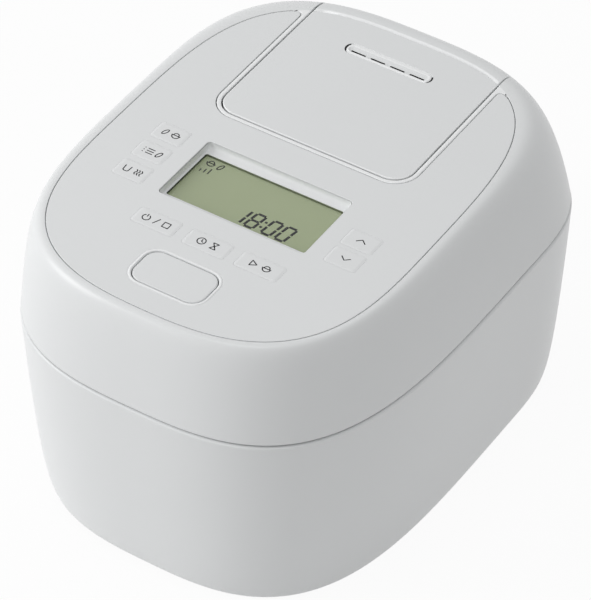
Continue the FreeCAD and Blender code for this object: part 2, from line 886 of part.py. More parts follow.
def board_screws():
    head_low = control_board_low - screw_head
    return group([screw(x, y, head_low, board_screw_length) for x, y in board_screw_places])


def key_switches():
    half = switch_size / 2
    return group([box(x - half, x + half, y - half, y + half, control_board_top, switch_top)
                  for name, x, y, size in keys])


def key_cap(x, y, width, depth):
    top = top_z + key_proud
    cap = pad(x, y, width, depth, key_corner, switch_top + key_travel + key_slack, top)
    return cap.makeFillet(key_edge_r, [e for e in cap.Edges if e.BoundBox.ZMin > top - tiny])


# Lid button and latch
def lid_button():
    cap_low = top_z - button_thick
    cap = pad(0.0, button_y, button_width, button_depth, button_corner, cap_low, top_z)
    cap = cap.makeFillet(button_edge_r, [e for e in cap.Edges if e.BoundBox.ZMin > top_z - tiny])
    stem = box(-button_stem_width / 2, button_stem_width / 2, button_y - button_stem_depth / 2,
               button_y + button_stem_depth / 2, stem_low, cap_low)
    return fuse(cap, stem)


def button_guide():
    low = roof_low - guide_drop
    block = pad(0.0, button_y, guide_width, guide_depth, button_corner, low, roof_low)
    hollow = pad(0.0, button_y, guide_width - 2 * guide_thick, guide_depth - 2 * guide_thick,
                 button_corner - guide_thick, low + guide_thick, roof_low)
    hole = box(-button_stem_width / 2 - seat_fit, button_stem_width / 2 + seat_fit,
               button_y - button_stem_depth / 2 - seat_fit, button_y + button_stem_depth / 2 + seat_fit,
               low, low + guide_thick)
    return block.cut(hollow).cut(hole)


def button_spring():
    low = roof_low - guide_drop + guide_thick
    return ring(button_spring_r, button_spring_r - spring_wire, low, top_z - button_thick, 0.0, button_y)


def latch_pin():
    half = slot_half + latch_ear_thick
    return cross_rod(latch_pin_r, -half, half, latch_y, latch_z)


def latch_lever():
    half = latch_half
    pad_top = stem_low - seat_fit
    hub = cross_rod(latch_hub_r, -half, half, latch_y, latch_z)
    back = latch_y + hook_thick / 2
    hook = box(-half, half, back - hook_thick, back, hook_low, latch_z)
    nose_top = hook_low + hook_nose_height
    nose_tip = back + hook_nose
    nose = side_profile([(latch_y, hook_low), (back, hook_low), (nose_tip, hook_low + hook_nose_height / 2),
                         (nose_tip, nose_top), (latch_y, nose_top)], -half, half)
    arm_end = latch_y + latch_arm
    pad_start = latch_y + stem_reach - hook_nose
    pad_low = pad_top - hook_thick
    arm = side_profile([(latch_y - latch_pin_r, latch_z), (latch_y, latch_z + hook_thick),
                        (pad_start, pad_top), (arm_end, pad_top), (arm_end, pad_low),
                        (latch_y + hook_thick, latch_z)], -half, half)
    return fuse(hub, hook, nose, arm).cut(cross_rod(latch_pin_r + bore_fit, -far, far, latch_y, latch_z))


# Steam cap
def steam_cap_cover():
    cover = lid_outer.common(cap_block(0.0, cap_skirt, top_z))
    hollow = lid_form(cap_skin, cap_skin).common(cap_block(-cap_skin, cap_skirt, top_z))
    cover = cover.cut(hollow)
    vent_low = top_z - vent_sink
    tray = stadium(vent_length + 2 * vent_floor, vent_width + 2 * vent_floor,
                   vent_low - vent_floor, top_z - cap_skin)
    cutters = [stadium(vent_length, vent_width, vent_low, top_z)]
    pitch = slit_length + slit_rib
    y = vent_y - vent_width / 2 + slit_inset
    for i in range(slit_count):
        x = (i - (slit_count - 1) / 2) * pitch
        cutters.append(box(x - slit_length / 2, x + slit_length / 2, y, y + slit_width,
                           vent_low - vent_floor, vent_low))
    return cover.fuse(tray).cut(cutters)


def stadium(length, width, z0, z1):
    return pad(0.0, vent_y, length, width, width / 2 - tiny, z0, z1)


def steam_cap_base():
    low = cap_base_low
    skin = cap_skin + seat_fit
    plate = lid_form(skin, skin).common(cap_block(-skin, low, low + cap_base_thick))
    return plate.cut(rod(steam_r, low, low + cap_base_thick, 0.0, steam_y))


def steam_cap_gasket():
    low = cap_base_low - cap_gasket_thick
    return ring(steam_r + cap_gasket_width, steam_r, low, cap_base_low, 0.0, steam_y)


makers = (body_shell, base_plate, rubber_feet, case_screws, rim_frame, latch_catch, pot_well, inner_pot,
          coil_tray, work_coil, ferrite_bars, pot_sensor, sensor_spring, power_board, heat_sink,
          filter_capacitors, fan_frame, fan_impeller, power_inlet, inlet_pins, hinge_bracket, hinge_pin,
          hinge_spring, lid_shell, lid_frame, lid_screws, inner_lid, inner_lid_gasket, steam_pipe,
          lid_sensor, control_panel, display_bezel, display_window, display_glass, display_backlight,
          control_board, board_screws, key_switches, lid_button, button_guide, button_spring, latch_pin,
          latch_lever, steam_cap_cover, steam_cap_base, steam_cap_gasket)

os.makedirs("parts", exist_ok=True)
pieces = {maker.__name__: maker() for maker in makers}
for key_name, key_x, key_y, (key_width, key_depth) in keys:
    pieces[key_name] = key_cap(key_x, key_y, key_width, key_depth)
for piece_name, shape in pieces.items():
    shape.exportStep("parts/" + piece_name + ".step")
    state = "valid" if shape.isValid() else "INVALID"
    print(piece_name, len(shape.Solids), "solids,", round(shape.Volume), "mm3,", state)
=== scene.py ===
import math

import bmesh
import bpy
from mathutils import Matrix, Vector


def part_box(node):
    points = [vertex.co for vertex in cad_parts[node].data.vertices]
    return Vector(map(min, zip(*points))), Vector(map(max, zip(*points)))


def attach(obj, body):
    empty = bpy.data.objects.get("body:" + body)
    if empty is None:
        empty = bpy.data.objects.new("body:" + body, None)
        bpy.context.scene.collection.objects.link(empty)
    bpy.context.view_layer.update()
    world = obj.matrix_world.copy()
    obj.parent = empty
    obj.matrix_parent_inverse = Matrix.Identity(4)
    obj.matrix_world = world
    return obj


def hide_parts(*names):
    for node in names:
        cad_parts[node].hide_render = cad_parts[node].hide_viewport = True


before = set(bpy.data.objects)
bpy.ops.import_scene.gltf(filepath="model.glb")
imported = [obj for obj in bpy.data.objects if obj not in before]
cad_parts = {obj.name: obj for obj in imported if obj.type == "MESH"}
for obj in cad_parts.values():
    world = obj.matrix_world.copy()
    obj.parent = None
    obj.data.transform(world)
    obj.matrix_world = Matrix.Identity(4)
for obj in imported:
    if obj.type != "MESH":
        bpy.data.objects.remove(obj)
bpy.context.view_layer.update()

mm = 0.001

# Base plate, feet and case screws: the plate is black moulded plastic with a fan grille, let into the
# foot of the shell. Four rubber discs are stuck under it and four steel screws hold it to the shell.
plate_dark = (0.012, 0.012, 0.013)
plate_light = (0.022, 0.022, 0.024)
rubber_dark = (0.03, 0.03, 0.03)
rubber_light = (0.05, 0.05, 0.05)
steel_dark = (0.48, 0.48, 0.49)
steel_light = (0.62, 0.62, 0.63)
tone_detail = 3
grain_scale = 1800
grain_depth = 0.1 * mm


def surface(name, dark, light, rough, metallic=0.0, scale=40.0, stretch=(1, 1, 1), bump=0.0):
    """A finish whose colour drifts between two tones and whose shine follows the same noise."""
    material = bpy.data.materials.new(name)
    material.use_nodes = True
    tree = material.node_tree
    shader = tree.nodes["Principled BSDF"]
    shader.inputs["Metallic"].default_value = metallic
    coords = tree.nodes.new("ShaderNodeTexCoord")
    mapping = tree.nodes.new("ShaderNodeMapping")
    mapping.inputs["Scale"].default_value = stretch
    noise = tree.nodes.new("ShaderNodeTexNoise")
    noise.inputs["Scale"].default_value = scale
    noise.inputs["Detail"].default_value = tone_detail
    tones = tree.nodes.new("ShaderNodeValToRGB")
    tones.color_ramp.elements[0].color = (*dark, 1)
    tones.color_ramp.elements[1].color = (*light, 1)
    shine = tree.nodes.new("ShaderNodeMapRange")
    shine.inputs["To Min"].default_value = rough[0]
    shine.inputs["To Max"].default_value = rough[1]
    tree.links.new(coords.outputs["Object"], mapping.inputs["Vector"])
    tree.links.new(mapping.outputs["Vector"], noise.inputs["Vector"])
    tree.links.new(noise.outputs["Fac"], tones.inputs["Fac"])
    tree.links.new(noise.outputs["Fac"], shine.inputs["Value"])
    tree.links.new(tones.outputs["Color"], shader.inputs["Base Color"])
    tree.links.new(shine.outputs["Result"], shader.inputs["Roughness"])
    if bump:
        grain = tree.nodes.new("ShaderNodeTexNoise")
        grain.inputs["Scale"].default_value = grain_scale
        relief = tree.nodes.new("ShaderNodeBump")
        relief.inputs["Strength"].default_value = bump
        relief.inputs["Distance"].default_value = grain_depth
        tree.links.new(coords.outputs["Object"], grain.inputs["Vector"])
        tree.links.new(grain.outputs["Fac"], relief.inputs["Height"])
        tree.links.new(relief.outputs["Normal"], shader.inputs["Normal"])
    return material


def dress(material, *nodes):
    """Gives CAD nodes that stay as they are their finish."""
    for node in nodes:
        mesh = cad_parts[node].data
        mesh.materials.clear()
        mesh.materials.append(material)


black_plastic = surface("black_plastic", plate_dark, plate_light, rough=(0.45, 0.6), bump=0.15)
rubber = surface("foot_rubber", rubber_dark, rubber_light, rough=(0.75, 0.9), bump=0.2)
steel = surface("steel", steel_dark, steel_light, rough=(0.25, 0.4), metallic=1.0, scale=120)
dress(black_plastic, "base_plate")
dress(rubber, "rubber_feet")
dress(steel, "case_screws")

# Lower body shell: a tapered tub injection moulded in satin white plastic, 2.5 mm thick. It is widest
# at its rounded rim, tucks in towards the foot and has a hole in its back for the mains inlet.
columns = 240
plan_spread = 1.7
shell_wall = 2.5 * mm
shell_fit = 0.5 * mm
rim_edge_r = 1.7 * mm
rim_edge_steps = 6
rim_lip_r = 0.4 * mm
rim_lip_steps = 2
body_bend = (2.95, 4.1, 2.5, 3.0)
body_widest_y = 60 * mm
body_fullness = 0.454
body_steps = 40
inner_steps = 8
inlet_hole_height = 20 * mm
inlet_hole_fit = 0.3 * mm
inlet_cut_reach = 60 * mm
weld_reach = 1e-7
sharp_from = math.radians(40)
white_dark = (0.775, 0.788, 0.793)
white_light = (0.80, 0.813, 0.818)


def outline(half, front, rear, widest, bend):
    """Points round a plan whose front and rear halves meet on its widest line and have their own bends."""
    points = []
    for step in range(columns):
        turn = 2 * math.pi * step / columns
        across = abs(math.cos(turn)) ** plan_spread
        along = abs(math.sin(turn)) ** plan_spread
        length = math.hypot(across, along)
        at_rear = math.sin(turn) >= 0
        bend_x, bend_y = bend[2:] if at_rear else bend[:2]
        reach = rear - widest if at_rear else front - widest
        x = half * (across / length) ** (2 / bend_x)
        y = reach * (along / length) ** (2 / bend_y)
        points.append(Vector((math.copysign(x, math.cos(turn)), widest + y)))
    return points


def mix(first, second, share):
    return [a.lerp(b, share) for a, b in zip(first, second)]


def offset(path, distance):
    """A closed path that runs anticlockwise, moved outwards along its own normal."""
    moved = []
    for i, point in enumerate(path):
        run = path[(i + 1) % len(path)] - path[i - 1]
        moved.append(point + Vector((run.y, -run.x)).normalized() * distance)
    return moved


def level(path, z):
    return [Vector((point.x, point.y, z)) for point in path]


def quarter(steps):
    """The turns of a quarter circle, in equal steps."""
    return [math.pi / 2 * step / steps for step in range(steps + 1)]


def ring_edges(bm, ring):
    return [bm.edges.get((ring[i - 1], ring[i])) for i in range(len(ring))]


def stack(bm, rows):
    """Skins closed rings of points, one above the other, and returns each ring's vertices."""
    ring = bmesh.ops.create_circle(bm, segments=len(rows[0]), radius=1)["verts"]
    for vert, point in zip(ring, rows[0]):
        vert.co = point
    rings = [ring]
    for row in rows[1:]:
        edges = ring_edges(bm, ring)
        grown = bmesh.ops.extrude_edge_only(bm, edges=edges)["geom"]
        fresh = {item for item in grown if isinstance(item, bmesh.types.BMVert)}
        lifted = []
        for vert, point in zip(ring, row):
            above = next(e.other_vert(vert) for e in vert.link_edges if e.other_vert(vert) in fresh)
            above.co = point
            lifted.append(above)
        ring = lifted
        rings.append(ring)
    return rings


def cut(bm, faces, point, normal):
    """Splits some faces along a plane."""
    edges = {edge for face in faces for edge in face.edges}
    verts = {vert for face in faces for vert in face.verts}
    parts = [*verts, *edges, *faces]
    bmesh.ops.bisect_plane(bm, geom=parts, dist=weld_reach, plane_co=point, plane_no=normal)


def open_rear(bm, half_width, low, top, reach):
    """Cuts an opening of a half width, between two heights, into the rear of a shell."""

    def inside(face, margin):
        centre = face.calc_center_median()
        in_width = abs(centre.x) < half_width + margin
        return centre.y > 0 and in_width and low - margin < centre.z < top + margin

    for side in (half_width, -half_width):
        cut(bm, [face for face in bm.faces if inside(face, reach)], (side, 0, 0), (1, 0, 0))
    for height in (low, top):
        cut(bm, [face for face in bm.faces if inside(face, reach)], (0, 0, height), (0, 0, 1))
    bmesh.ops.delete(bm, geom=[face for face in bm.faces if inside(face, 0)], context="FACES")


def weld(bm):
    bmesh.ops.remove_doubles(bm, verts=bm.verts[:], dist=weld_reach)
    bmesh.ops.recalc_face_normals(bm, faces=bm.faces[:])


def place(name, bm, material, body, slot, *nodes):
    """Turns a finished bmesh into a smooth piece that rides on a body and stands for CAD nodes."""
    weld(bm)
    mesh = bpy.data.meshes.new(name)
    bm.to_mesh(mesh)
    bm.free()
    mesh.materials.append(material)
    mesh.shade_smooth()
    mesh.set_sharp_from_angle(angle=sharp_from)
    made = bpy.data.objects.new(name, mesh)
    bpy.context.scene.collection.objects.link(made)
    normals = made.modifiers.new("flat_faces_first", "WEIGHTED_NORMAL")
    normals.keep_sharp = True
    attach(made, body)
    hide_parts(*nodes)
    return made


body_low, body_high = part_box("body_shell")
plate_low, plate_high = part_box("base_plate")
inlet_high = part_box("power_inlet")[1]
foot_gap = shell_wall + shell_fit
foot_line = outline(plate_high.x + foot_gap, plate_low.y - foot_gap, plate_high.y + foot_gap,
                    body_widest_y, body_bend)
rim_line = outline(body_high.x, body_low.y, body_high.y, body_widest_y, body_bend)


def body_ring(z, inward=0.0):
    share = ((z - body_low.z) / (body_high.z - body_low.z)) ** body_fullness
    return level(offset(mix(foot_line, rim_line, share), -inward), z)


rows = [body_ring(body_low.z, shell_wall)]
edge_z = body_high.z - rim_edge_r
for step in range(body_steps + 1):
    share = (step / body_steps) ** (1 / body_fullness)
    rows.append(body_ring(body_low.z + (edge_z - body_low.z) * share))
for turn in quarter(rim_edge_steps)[1:]:
    rows.append(body_ring(edge_z + rim_edge_r * math.sin(turn), rim_edge_r * (1 - math.cos(turn))))
for turn in quarter(rim_lip_steps):
    rows.append(body_ring(body_high.z - rim_lip_r * (1 - math.cos(turn)),
                          shell_wall - rim_lip_r * (1 - math.sin(turn))))
for step in reversed(range(inner_steps)):
    rows.append(body_ring(body_low.z + (edge_z - body_low.z) * step / inner_steps, shell_wall))
bm = bmesh.new()
stack(bm, rows)
weld(bm)
hole_top = inlet_high.z + inlet_hole_fit
open_rear(bm, inlet_high.x + inlet_hole_fit, hole_top - inlet_hole_height, hole_top, inlet_cut_reach)
bmesh.ops.bridge_loops(bm, edges=[edge for edge in bm.edges if edge.is_boundary])
white_plastic = surface("white_plastic", white_dark, white_light, rough=(0.3, 0.36), scale=12, bump=0.03)
place("body_shell_skin", bm, white_plastic, "housing", "body_white", "body_shell")

# Rim frame and pot well: the frame is a grey plastic deck glued inside the rim that carries the pot by
# its flange. The black heat-proof well hangs from it, and the latch catch is a steel bar under its front.
frame_dark = (0.42, 0.42, 0.43)
frame_light = (0.47, 0.47, 0.48)
well_dark = (0.016, 0.016, 0.017)
well_light = (0.03, 0.03, 0.031)
grey_plastic = surface("grey_plastic", frame_dark, frame_light, rough=(0.42, 0.5), scale=20, bump=0.04)
black_well = surface("black_well", well_dark, well_light, rough=(0.55, 0.7), scale=90, bump=0.2)
dress(grey_plastic, "rim_frame")
dress(black_well, "pot_well")
dress(steel, "latch_catch")

# Heater and pot sensor: a flat coil of copper litz lies on a black tray with six ferrite bars under it,
# and a sprung aluminium sensor comes up through the middle of the well to touch the pot.
copper_dark = (0.45, 0.16, 0.06)
copper_light = (0.72, 0.32, 0.14)
ferrite_dark = (0.03, 0.03, 0.033)
ferrite_light = (0.06, 0.06, 0.064)
sink_dark = (0.52, 0.53, 0.54)
sink_light = (0.66, 0.67, 0.68)
copper = surface("coil_copper", copper_dark, copper_light, rough=(0.3, 0.5), metallic=1.0, scale=300)
ferrite = surface("ferrite", ferrite_dark, ferrite_light, rough=(0.6, 0.8), scale=200, bump=0.3)
aluminium = surface("aluminium", sink_dark, sink_light, rough=(0.3, 0.45), metallic=1.0, stretch=(1, 1, 8))
dress(black_plastic, "coil_tray")
dress(copper, "work_coil")
dress(ferrite, "ferrite_bars")
dress(aluminium, "pot_sensor")
dress(steel, "sensor_spring")

# Electrics in the base: an upright green board with a finned heat sink and four capacitors stands in
# front of the well, a black fan blows through the grille, and the inlet's brass pins stand in its socket.
board_dark = (0.01, 0.09, 0.03)
board_light = (0.02, 0.15, 0.05)
brass_dark = (0.55, 0.38, 0.14)
brass_light = (0.72, 0.52, 0.22)
green_board = surface("green_board", board_dark, board_light, rough=(0.3, 0.45), scale=260)
brass = surface("pin_brass", brass_dark, brass_light, rough=(0.25, 0.4), metallic=1.0, scale=150)
dress(green_board, "power_board")
dress(aluminium, "heat_sink")
dress(black_plastic, "filter_capacitors", "fan_frame", "fan_impeller", "power_inlet")
dress(brass, "inlet_pins")

# Inner pot: spun aluminium, bare and brushed on the outside and on its flange, with a dark non-stick
# coat inside. It hangs in the well by the flange and lifts out.
pot_low, pot_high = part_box("inner_pot")
coat_r = 91 * mm
coat_colour = (0.035, 0.034, 0.034, 1)
coat_rough = 0.34
pot_y = (pot_low.y + pot_high.y) / 2
pot_metal = surface("pot_metal", sink_dark, sink_light, rough=(0.28, 0.4), metallic=1.0, stretch=(1, 1, 14))


def coat_inside(material):
    """Lays the dark coat over the metal wherever the pot's wall is nearer its axis than the coat's edge."""
    tree = material.node_tree
    metal = tree.nodes["Principled BSDF"]
    coat = tree.nodes.new("ShaderNodeBsdfPrincipled")
    coat.inputs["Base Color"].default_value = coat_colour
    coat.inputs["Roughness"].default_value = coat_rough
    coords = tree.nodes.new("ShaderNodeTexCoord")
    centred = tree.nodes.new("ShaderNodeMapping")
    centred.inputs["Location"].default_value = (0, -pot_y, 0)
    centred.inputs["Scale"].default_value = (1, 1, 0)
    radius = tree.nodes.new("ShaderNodeVectorMath")
    radius.operation = "LENGTH"
    inside = tree.nodes.new("ShaderNodeMath")
    inside.operation = "LESS_THAN"
    inside.inputs[1].default_value = coat_r
    blend = tree.nodes.new("ShaderNodeMixShader")
    tree.links.new(coords.outputs["Object"], centred.inputs["Vector"])
    tree.links.new(centred.outputs["Vector"], radius.inputs[0])
    tree.links.new(radius.outputs["Value"], inside.inputs[0])
    tree.links.new(inside.outputs["Value"], blend.inputs["Fac"])
    tree.links.new(metal.outputs["BSDF"], blend.inputs[1])
    tree.links.new(coat.outputs["BSDF"], blend.inputs[2])
    tree.links.new(blend.outputs["Shader"], tree.nodes["Material Output"].inputs["Surface"])


coat_inside(pot_metal)
dress(pot_metal, "inner_pot")

# Lid hinge: a bent steel bracket screwed to the rear of the rim frame carries a steel pin, with a coil
# spring of round wire in the middle that takes the lid's weight.
spring_wire_r = 0.85 * mm
spring_wire_sides = 10
spring_turns = 8
spring_steps = 28 * spring_turns
spring_low, spring_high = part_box("hinge_spring")
pin_low, pin_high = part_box("hinge_pin")
hinge = (pin_low + pin_high) / 2
spring_r = (spring_high.z - spring_low.z) / 2 - spring_wire_r
spring_run = spring_high.x - spring_low.x - 2 * spring_wire_r
wire_end = Matrix.Translation((spring_low.x + spring_wire_r, hinge.y, hinge.z + spring_r))
bm = bmesh.new()
wire = bmesh.ops.create_circle(bm, segments=spring_wire_sides, radius=spring_wire_r,
                               matrix=wire_end @ Matrix.Rotation(math.pi / 2, 4, "X"))
bmesh.ops.spin(bm, geom=[*wire["verts"], *ring_edges(bm, wire["verts"])], cent=hinge, axis=(1, 0, 0),
               dvec=(spring_run / spring_steps, 0, 0), angle=2 * math.pi * spring_turns, steps=spring_steps)
bmesh.ops.holes_fill(bm, edges=[edge for edge in bm.edges if edge.is_boundary])
place("hinge_spring_coil", bm, steel, "housing", "steel", "hinge_spring")
dress(steel, "hinge_bracket", "hinge_pin")

# Lid underside: a grey plastic frame screwed up into the lid carries the brushed steel inner lid by its
# thick silicone gasket, with the steam pipe, the lid's sensor and the latch pin.
seal_dark = (0.3, 0.3, 0.31)
seal_light = (0.36, 0.36, 0.37)
seal = surface("seal_grey", seal_dark, seal_light, rough=(0.5, 0.62), scale=60, bump=0.05)
brushed = surface("brushed_lid", steel_dark, steel_light, rough=(0.28, 0.34), metallic=1.0,
                  stretch=(1, 30, 1))
dress(grey_plastic, "lid_frame", "steam_pipe")
dress(brushed, "inner_lid", "lid_sensor")
dress(seal, "inner_lid_gasket")
dress(steel, "lid_screws", "latch_pin")

# Lid shell: one white moulding that rises from the rim into a soft shoulder and a level land around the
# control panel. A tub at the back takes the steam cap, behind a narrow strip, and the rear edge is cut
# back around the hinge line so that the lid can swing.
lid_low, lid_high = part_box("lid_shell")
panel_low, panel_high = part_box("control_panel")
cap_low, cap_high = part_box("steam_cap_cover")
top_bend = (2.64, 3.5, 3.4, 3.5)
top_widest_y = -15.6 * mm
top_rear_y = 122.4 * mm
lid_fullness = 0.326
lid_edge_r = 0.8 * mm
lid_edge_steps = 3
lid_steps = 44
lid_inner_steps = 16
lid_first_inner = 3
relief_r = 7.6 * mm
panel_land = 0.5 * mm
panel_gap = 0.5 * mm
land_edge_r = 0.2 * mm
ledge = 4.0 * mm
ledge_thick = 2.5 * mm
cap_gap = 0.35 * mm
cap_strip = 2.4 * mm
notch_gap = 0.52 * mm
cap_corner = 12.5 * mm
side_end = 1.0 * mm
cap_floor = cap_low.z - 1.5 * mm
cap_cut_reach = 40 * mm
same_place = 1e-6
crown_steps = 4
strip_crown = (0.8 * mm, 0.4 * mm)
strip_drop = 0.03 * mm
strip_bury = 1.5 * mm
strip_lap = 0.03 * mm
tub_wall = 2.0 * mm
tub_lap = 1.0 * mm
tub_steps = 12
tub_inset = 1.2 * mm
steam_r = 8.0 * mm
steam_edge_r = 0.5 * mm
steam_sides = 32
tip_reach = 6.0 * mm
tip_steps = 8
# Tones of a second, whiter white for the strip, the cap's edges, groove and vent lip and the panel's bead:
# painted highlight there.
highlight_dark = (0.9, 0.91, 0.915)
highlight_light = (0.93, 0.94, 0.945)
highlight_slot = 1
upright_below = 0.1
seam = panel_land + panel_gap
set_back = body_high.x - lid_high.x
top_line = outline(panel_high.x + seam, panel_low.y - seam, top_rear_y, top_widest_y, top_bend)
low_line = outline(lid_high.x, body_low.y + set_back, body_high.y - set_back, body_widest_y, body_bend)
rise = lid_high.z - lid_low.z


def relief_z(y):
    """Height of the lid's lower edge, which follows a round cut behind the hinge line."""
    behind = y - hinge.y
    if behind <= 0:
        return lid_low.z
    return max(lid_low.z, hinge.z - math.sqrt(max(0.0, relief_r ** 2 - behind ** 2)))


low_edge = [relief_z(point.y) for point in low_line]


def lid_share(z):
    return (1 - (z - lid_low.z) / rise) ** lid_fullness


def lid_ring(share, inward=0.0, lift=0.0, top=lid_high.z):
    """One ring of the lid's wall, a share of the way up from its own lower edge."""
    heights = [low + (top - low) * share + lift for low in low_edge]
    line = [a.lerp(b, lid_share(z)) for a, b, z in zip(top_line, low_line, heights)]
    return [Vector((point.x, point.y, z)) for point, z in zip(offset(line, -inward), heights)]


def shoulder_ring(share, inward=0.0):
    """One level ring of the lid's shoulder, a share of the way out from its top line."""
    line = offset(mix(top_line, low_line, share), -inward)
    return level(line, lid_low.z + rise * (1 - share ** (1 / lid_fullness)))


rows = [lid_ring(0, shell_wall)]
for turn in quarter(lid_edge_steps):
    rows.append(lid_ring(0, lid_edge_r * (1 - math.sin(turn)), lid_edge_r * (1 - math.cos(turn))))
for step in range(1, lid_steps + 1):
    rows.append(lid_ring(1 - (1 - step / lid_steps) ** (1 / lid_fullness)))
rows.append(level(offset(top_line, land_edge_r - panel_land), lid_high.z))
rows.append(level(offset(top_line, -panel_land), lid_high.z - land_edge_r))
rows.append(level(offset(top_line, -panel_land), panel_low.z))
rows.append(level(offset(top_line, -ledge), panel_low.z))
rows.append(level(offset(top_line, -ledge), panel_low.z - ledge_thick))
for step in range(lid_first_inner, lid_inner_steps):
    share = 1 - (step / lid_inner_steps) ** (1 / lid_fullness)
    rows.append(lid_ring(share, shell_wall, top=panel_low.z - ledge_thick))
rows.append(rows[0])
bm = bmesh.new()
stack(bm, rows)
weld(bm)
open_x = cap_high.x + cap_gap
open_rear(bm, open_x, cap_floor, lid_high.z + cap_cut_reach, cap_cut_reach)
open_edges = [edge for edge in bm.edges if edge.is_boundary]
for side in (-1, 1):
    ends = {vert for edge in open_edges for vert in edge.verts
            if abs(vert.co.x - side * open_x) < same_place and abs(vert.co.z - cap_floor) < same_place}
    open_edges.append(bm.edges.new(sorted(ends, key=lambda vert: vert.co.y)))
bmesh.ops.edgenet_fill(bm, edges=open_edges)


def arc(x, y, radius, start, end, steps=8):
    turns = [math.radians(start + (end - start) * i / steps) for i in range(steps + 1)]
    return [Vector((x + radius * math.cos(turn), y + radius * math.sin(turn))) for turn in turns]


def cap_front(grow):
    """Right half of the cap's front edge grown by a gap, from its side to the end of its round corner."""
    corner = cap_corner + grow
    return arc(cap_high.x + grow - corner, cap_low.y - grow + corner, corner, 0, -90)


def cap_side(grow, rear):
    """Right half of the cap's plan grown by a gap, from its rear end to the front edge."""
    straight = [Vector((cap_high.x + grow, end)) for end in (rear, rear - side_end)]
    return straight + cap_front(grow)


def mirrored(half):
    """A closed anticlockwise path from its right half."""
    path = half + [Vector((-point.x, point.y)) for point in reversed(half)]
    area = sum(path[i - 1].cross(path[i]) for i in range(len(path)))
    return path if area > 0 else path[::-1]


def crowned(across, down):
    """Steps across and down a round edge, from the face inwards of it to the wall below it."""
    return [(across * (1 - math.sin(turn)), down * (1 - math.cos(turn))) for turn in quarter(crown_steps)]


def rounded(radius):
    return crowned(radius, radius)


def crossing(path, x):
    """The place in a path, at the rear right, where it is a given half width, and the point there."""
    i = next(i for i, point in enumerate(path) if point.y > 0 and point.x < x)
    return i, path[i - 1].lerp(path[i], (path[i - 1].x - x) / (path[i - 1].x - path[i].x))


def plate(bm, top, low, outer, outer_profile, holes=()):
    """A flat plate with an edge profile round its outline and round each hole."""
    rims = []
    for path, profile, sign in [(outer, outer_profile, -1), *[(*hole, 1) for hole in holes]]:
        rows = [level(offset(path, sign * across), top - down) for across, down in profile]
        rims.append(stack(bm, rows + [level(path, low)]))
    for end in (0, -1):
        edges = [edge for rings in rims for edge in ring_edges(bm, rings[end])]
        bmesh.ops.triangle_fill(bm, use_beauty=True, edges=edges, normal=(0, 0, 1))


def right_half(path):
    """The points right of the middle in a plan of all the columns, from its front to its rear."""
    return path[columns * 3 // 4 + 1:] + path[:columns // 4]


panel_line = offset(top_line, -seam)
notch_grow = cap_gap + cap_strip + notch_gap
notch_x = cap_high.x + notch_grow
panel_right = right_half(panel_line)
tip_index, tip = crossing(panel_right, notch_x)
right_side = [point for point in panel_right[:tip_index] if (point - tip).length > tip_reach]
tip_end = tip - Vector((0, tip_reach))
tip_curve = []
for step in range(1, tip_steps):
    share = step / tip_steps
    tip_curve.append(right_side[-1].lerp(tip, share).lerp(tip.lerp(tip_end, share), share))
panel_half = right_side + tip_curve + cap_side(notch_grow, tip_end.y)
panel_path = mirrored(panel_half)
strip_outer = offset(panel_path, notch_gap)[len(right_side):len(panel_half)]
strip_rear = [point for point in offset(top_line, strip_bury)
              if point.y > 0 and open_x < point.x < strip_outer[0].x]
strip_inner = cap_side(cap_gap - strip_lap, strip_rear[-1].y)
moulded = set(bm.faces)
plate(bm, lid_high.z - strip_drop, cap_floor - ledge_thick,
      mirrored(strip_outer[::-1] + strip_rear + strip_inner), crowned(*strip_crown))
# The strip's top and rounded edges take the whiter white: a painted highlight along the strip.
for face in set(bm.faces) - moulded:
    face.normal_update()
    face.material_index = 0 if abs(face.normal.z) < upright_below else highlight_slot
wall_line = [(strip_inner[0].y - tub_lap, cap_floor - ledge_thick)]
for step in range(tub_steps + 1):
    share = lid_share(cap_floor) * (1 - step / tub_steps)
    under_skin = crossing(shoulder_ring(share, tub_lap), open_x)[1]
    wall_line.append((under_skin.y, under_skin.z - tub_lap / 2))
wall_line.append((strip_inner[0].y - tub_lap, lid_high.z - tub_lap))
for side in (-1, 1):
    wall_faces = [side * (open_x + strip_lap), side * (open_x + tub_wall)]
    for ring in stack(bm, [[Vector((x, y, z)) for y, z in wall_line] for x in wall_faces]):
        bmesh.ops.triangle_fill(bm, use_beauty=True, edges=ring_edges(bm, ring), normal=(1, 0, 0))
floor_x = open_x + cap_strip / 2
floor_line = offset(mix(top_line, low_line, lid_share(cap_floor)), -tub_inset)
floor_rear = [point for point in floor_line if point.y > 0 and 0 < point.x < floor_x]
steam_low, steam_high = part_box("steam_pipe")
steam_y = (steam_low.y + steam_high.y) / 2
plate(bm, cap_floor, cap_floor - ledge_thick,
      mirrored(floor_rear[::-1] + cap_side(floor_x - cap_high.x, floor_rear[0].y - tub_inset)),
      rounded(land_edge_r),
      [(arc(0, steam_y, steam_r, 0, 360, steam_sides)[:-1], rounded(steam_edge_r))])
lid = place("lid_shell_skin", bm, white_plastic, "lid", "body_white", "lid_shell")
# The second white is whiter than the plastic to paint highlights onto edges; its lower roughness gives real
# shine.
highlight_white = surface("painted_highlight_white", highlight_dark, highlight_light, rough=(0.12, 0.18), scale=14)
lid.data.materials.append(highlight_white)

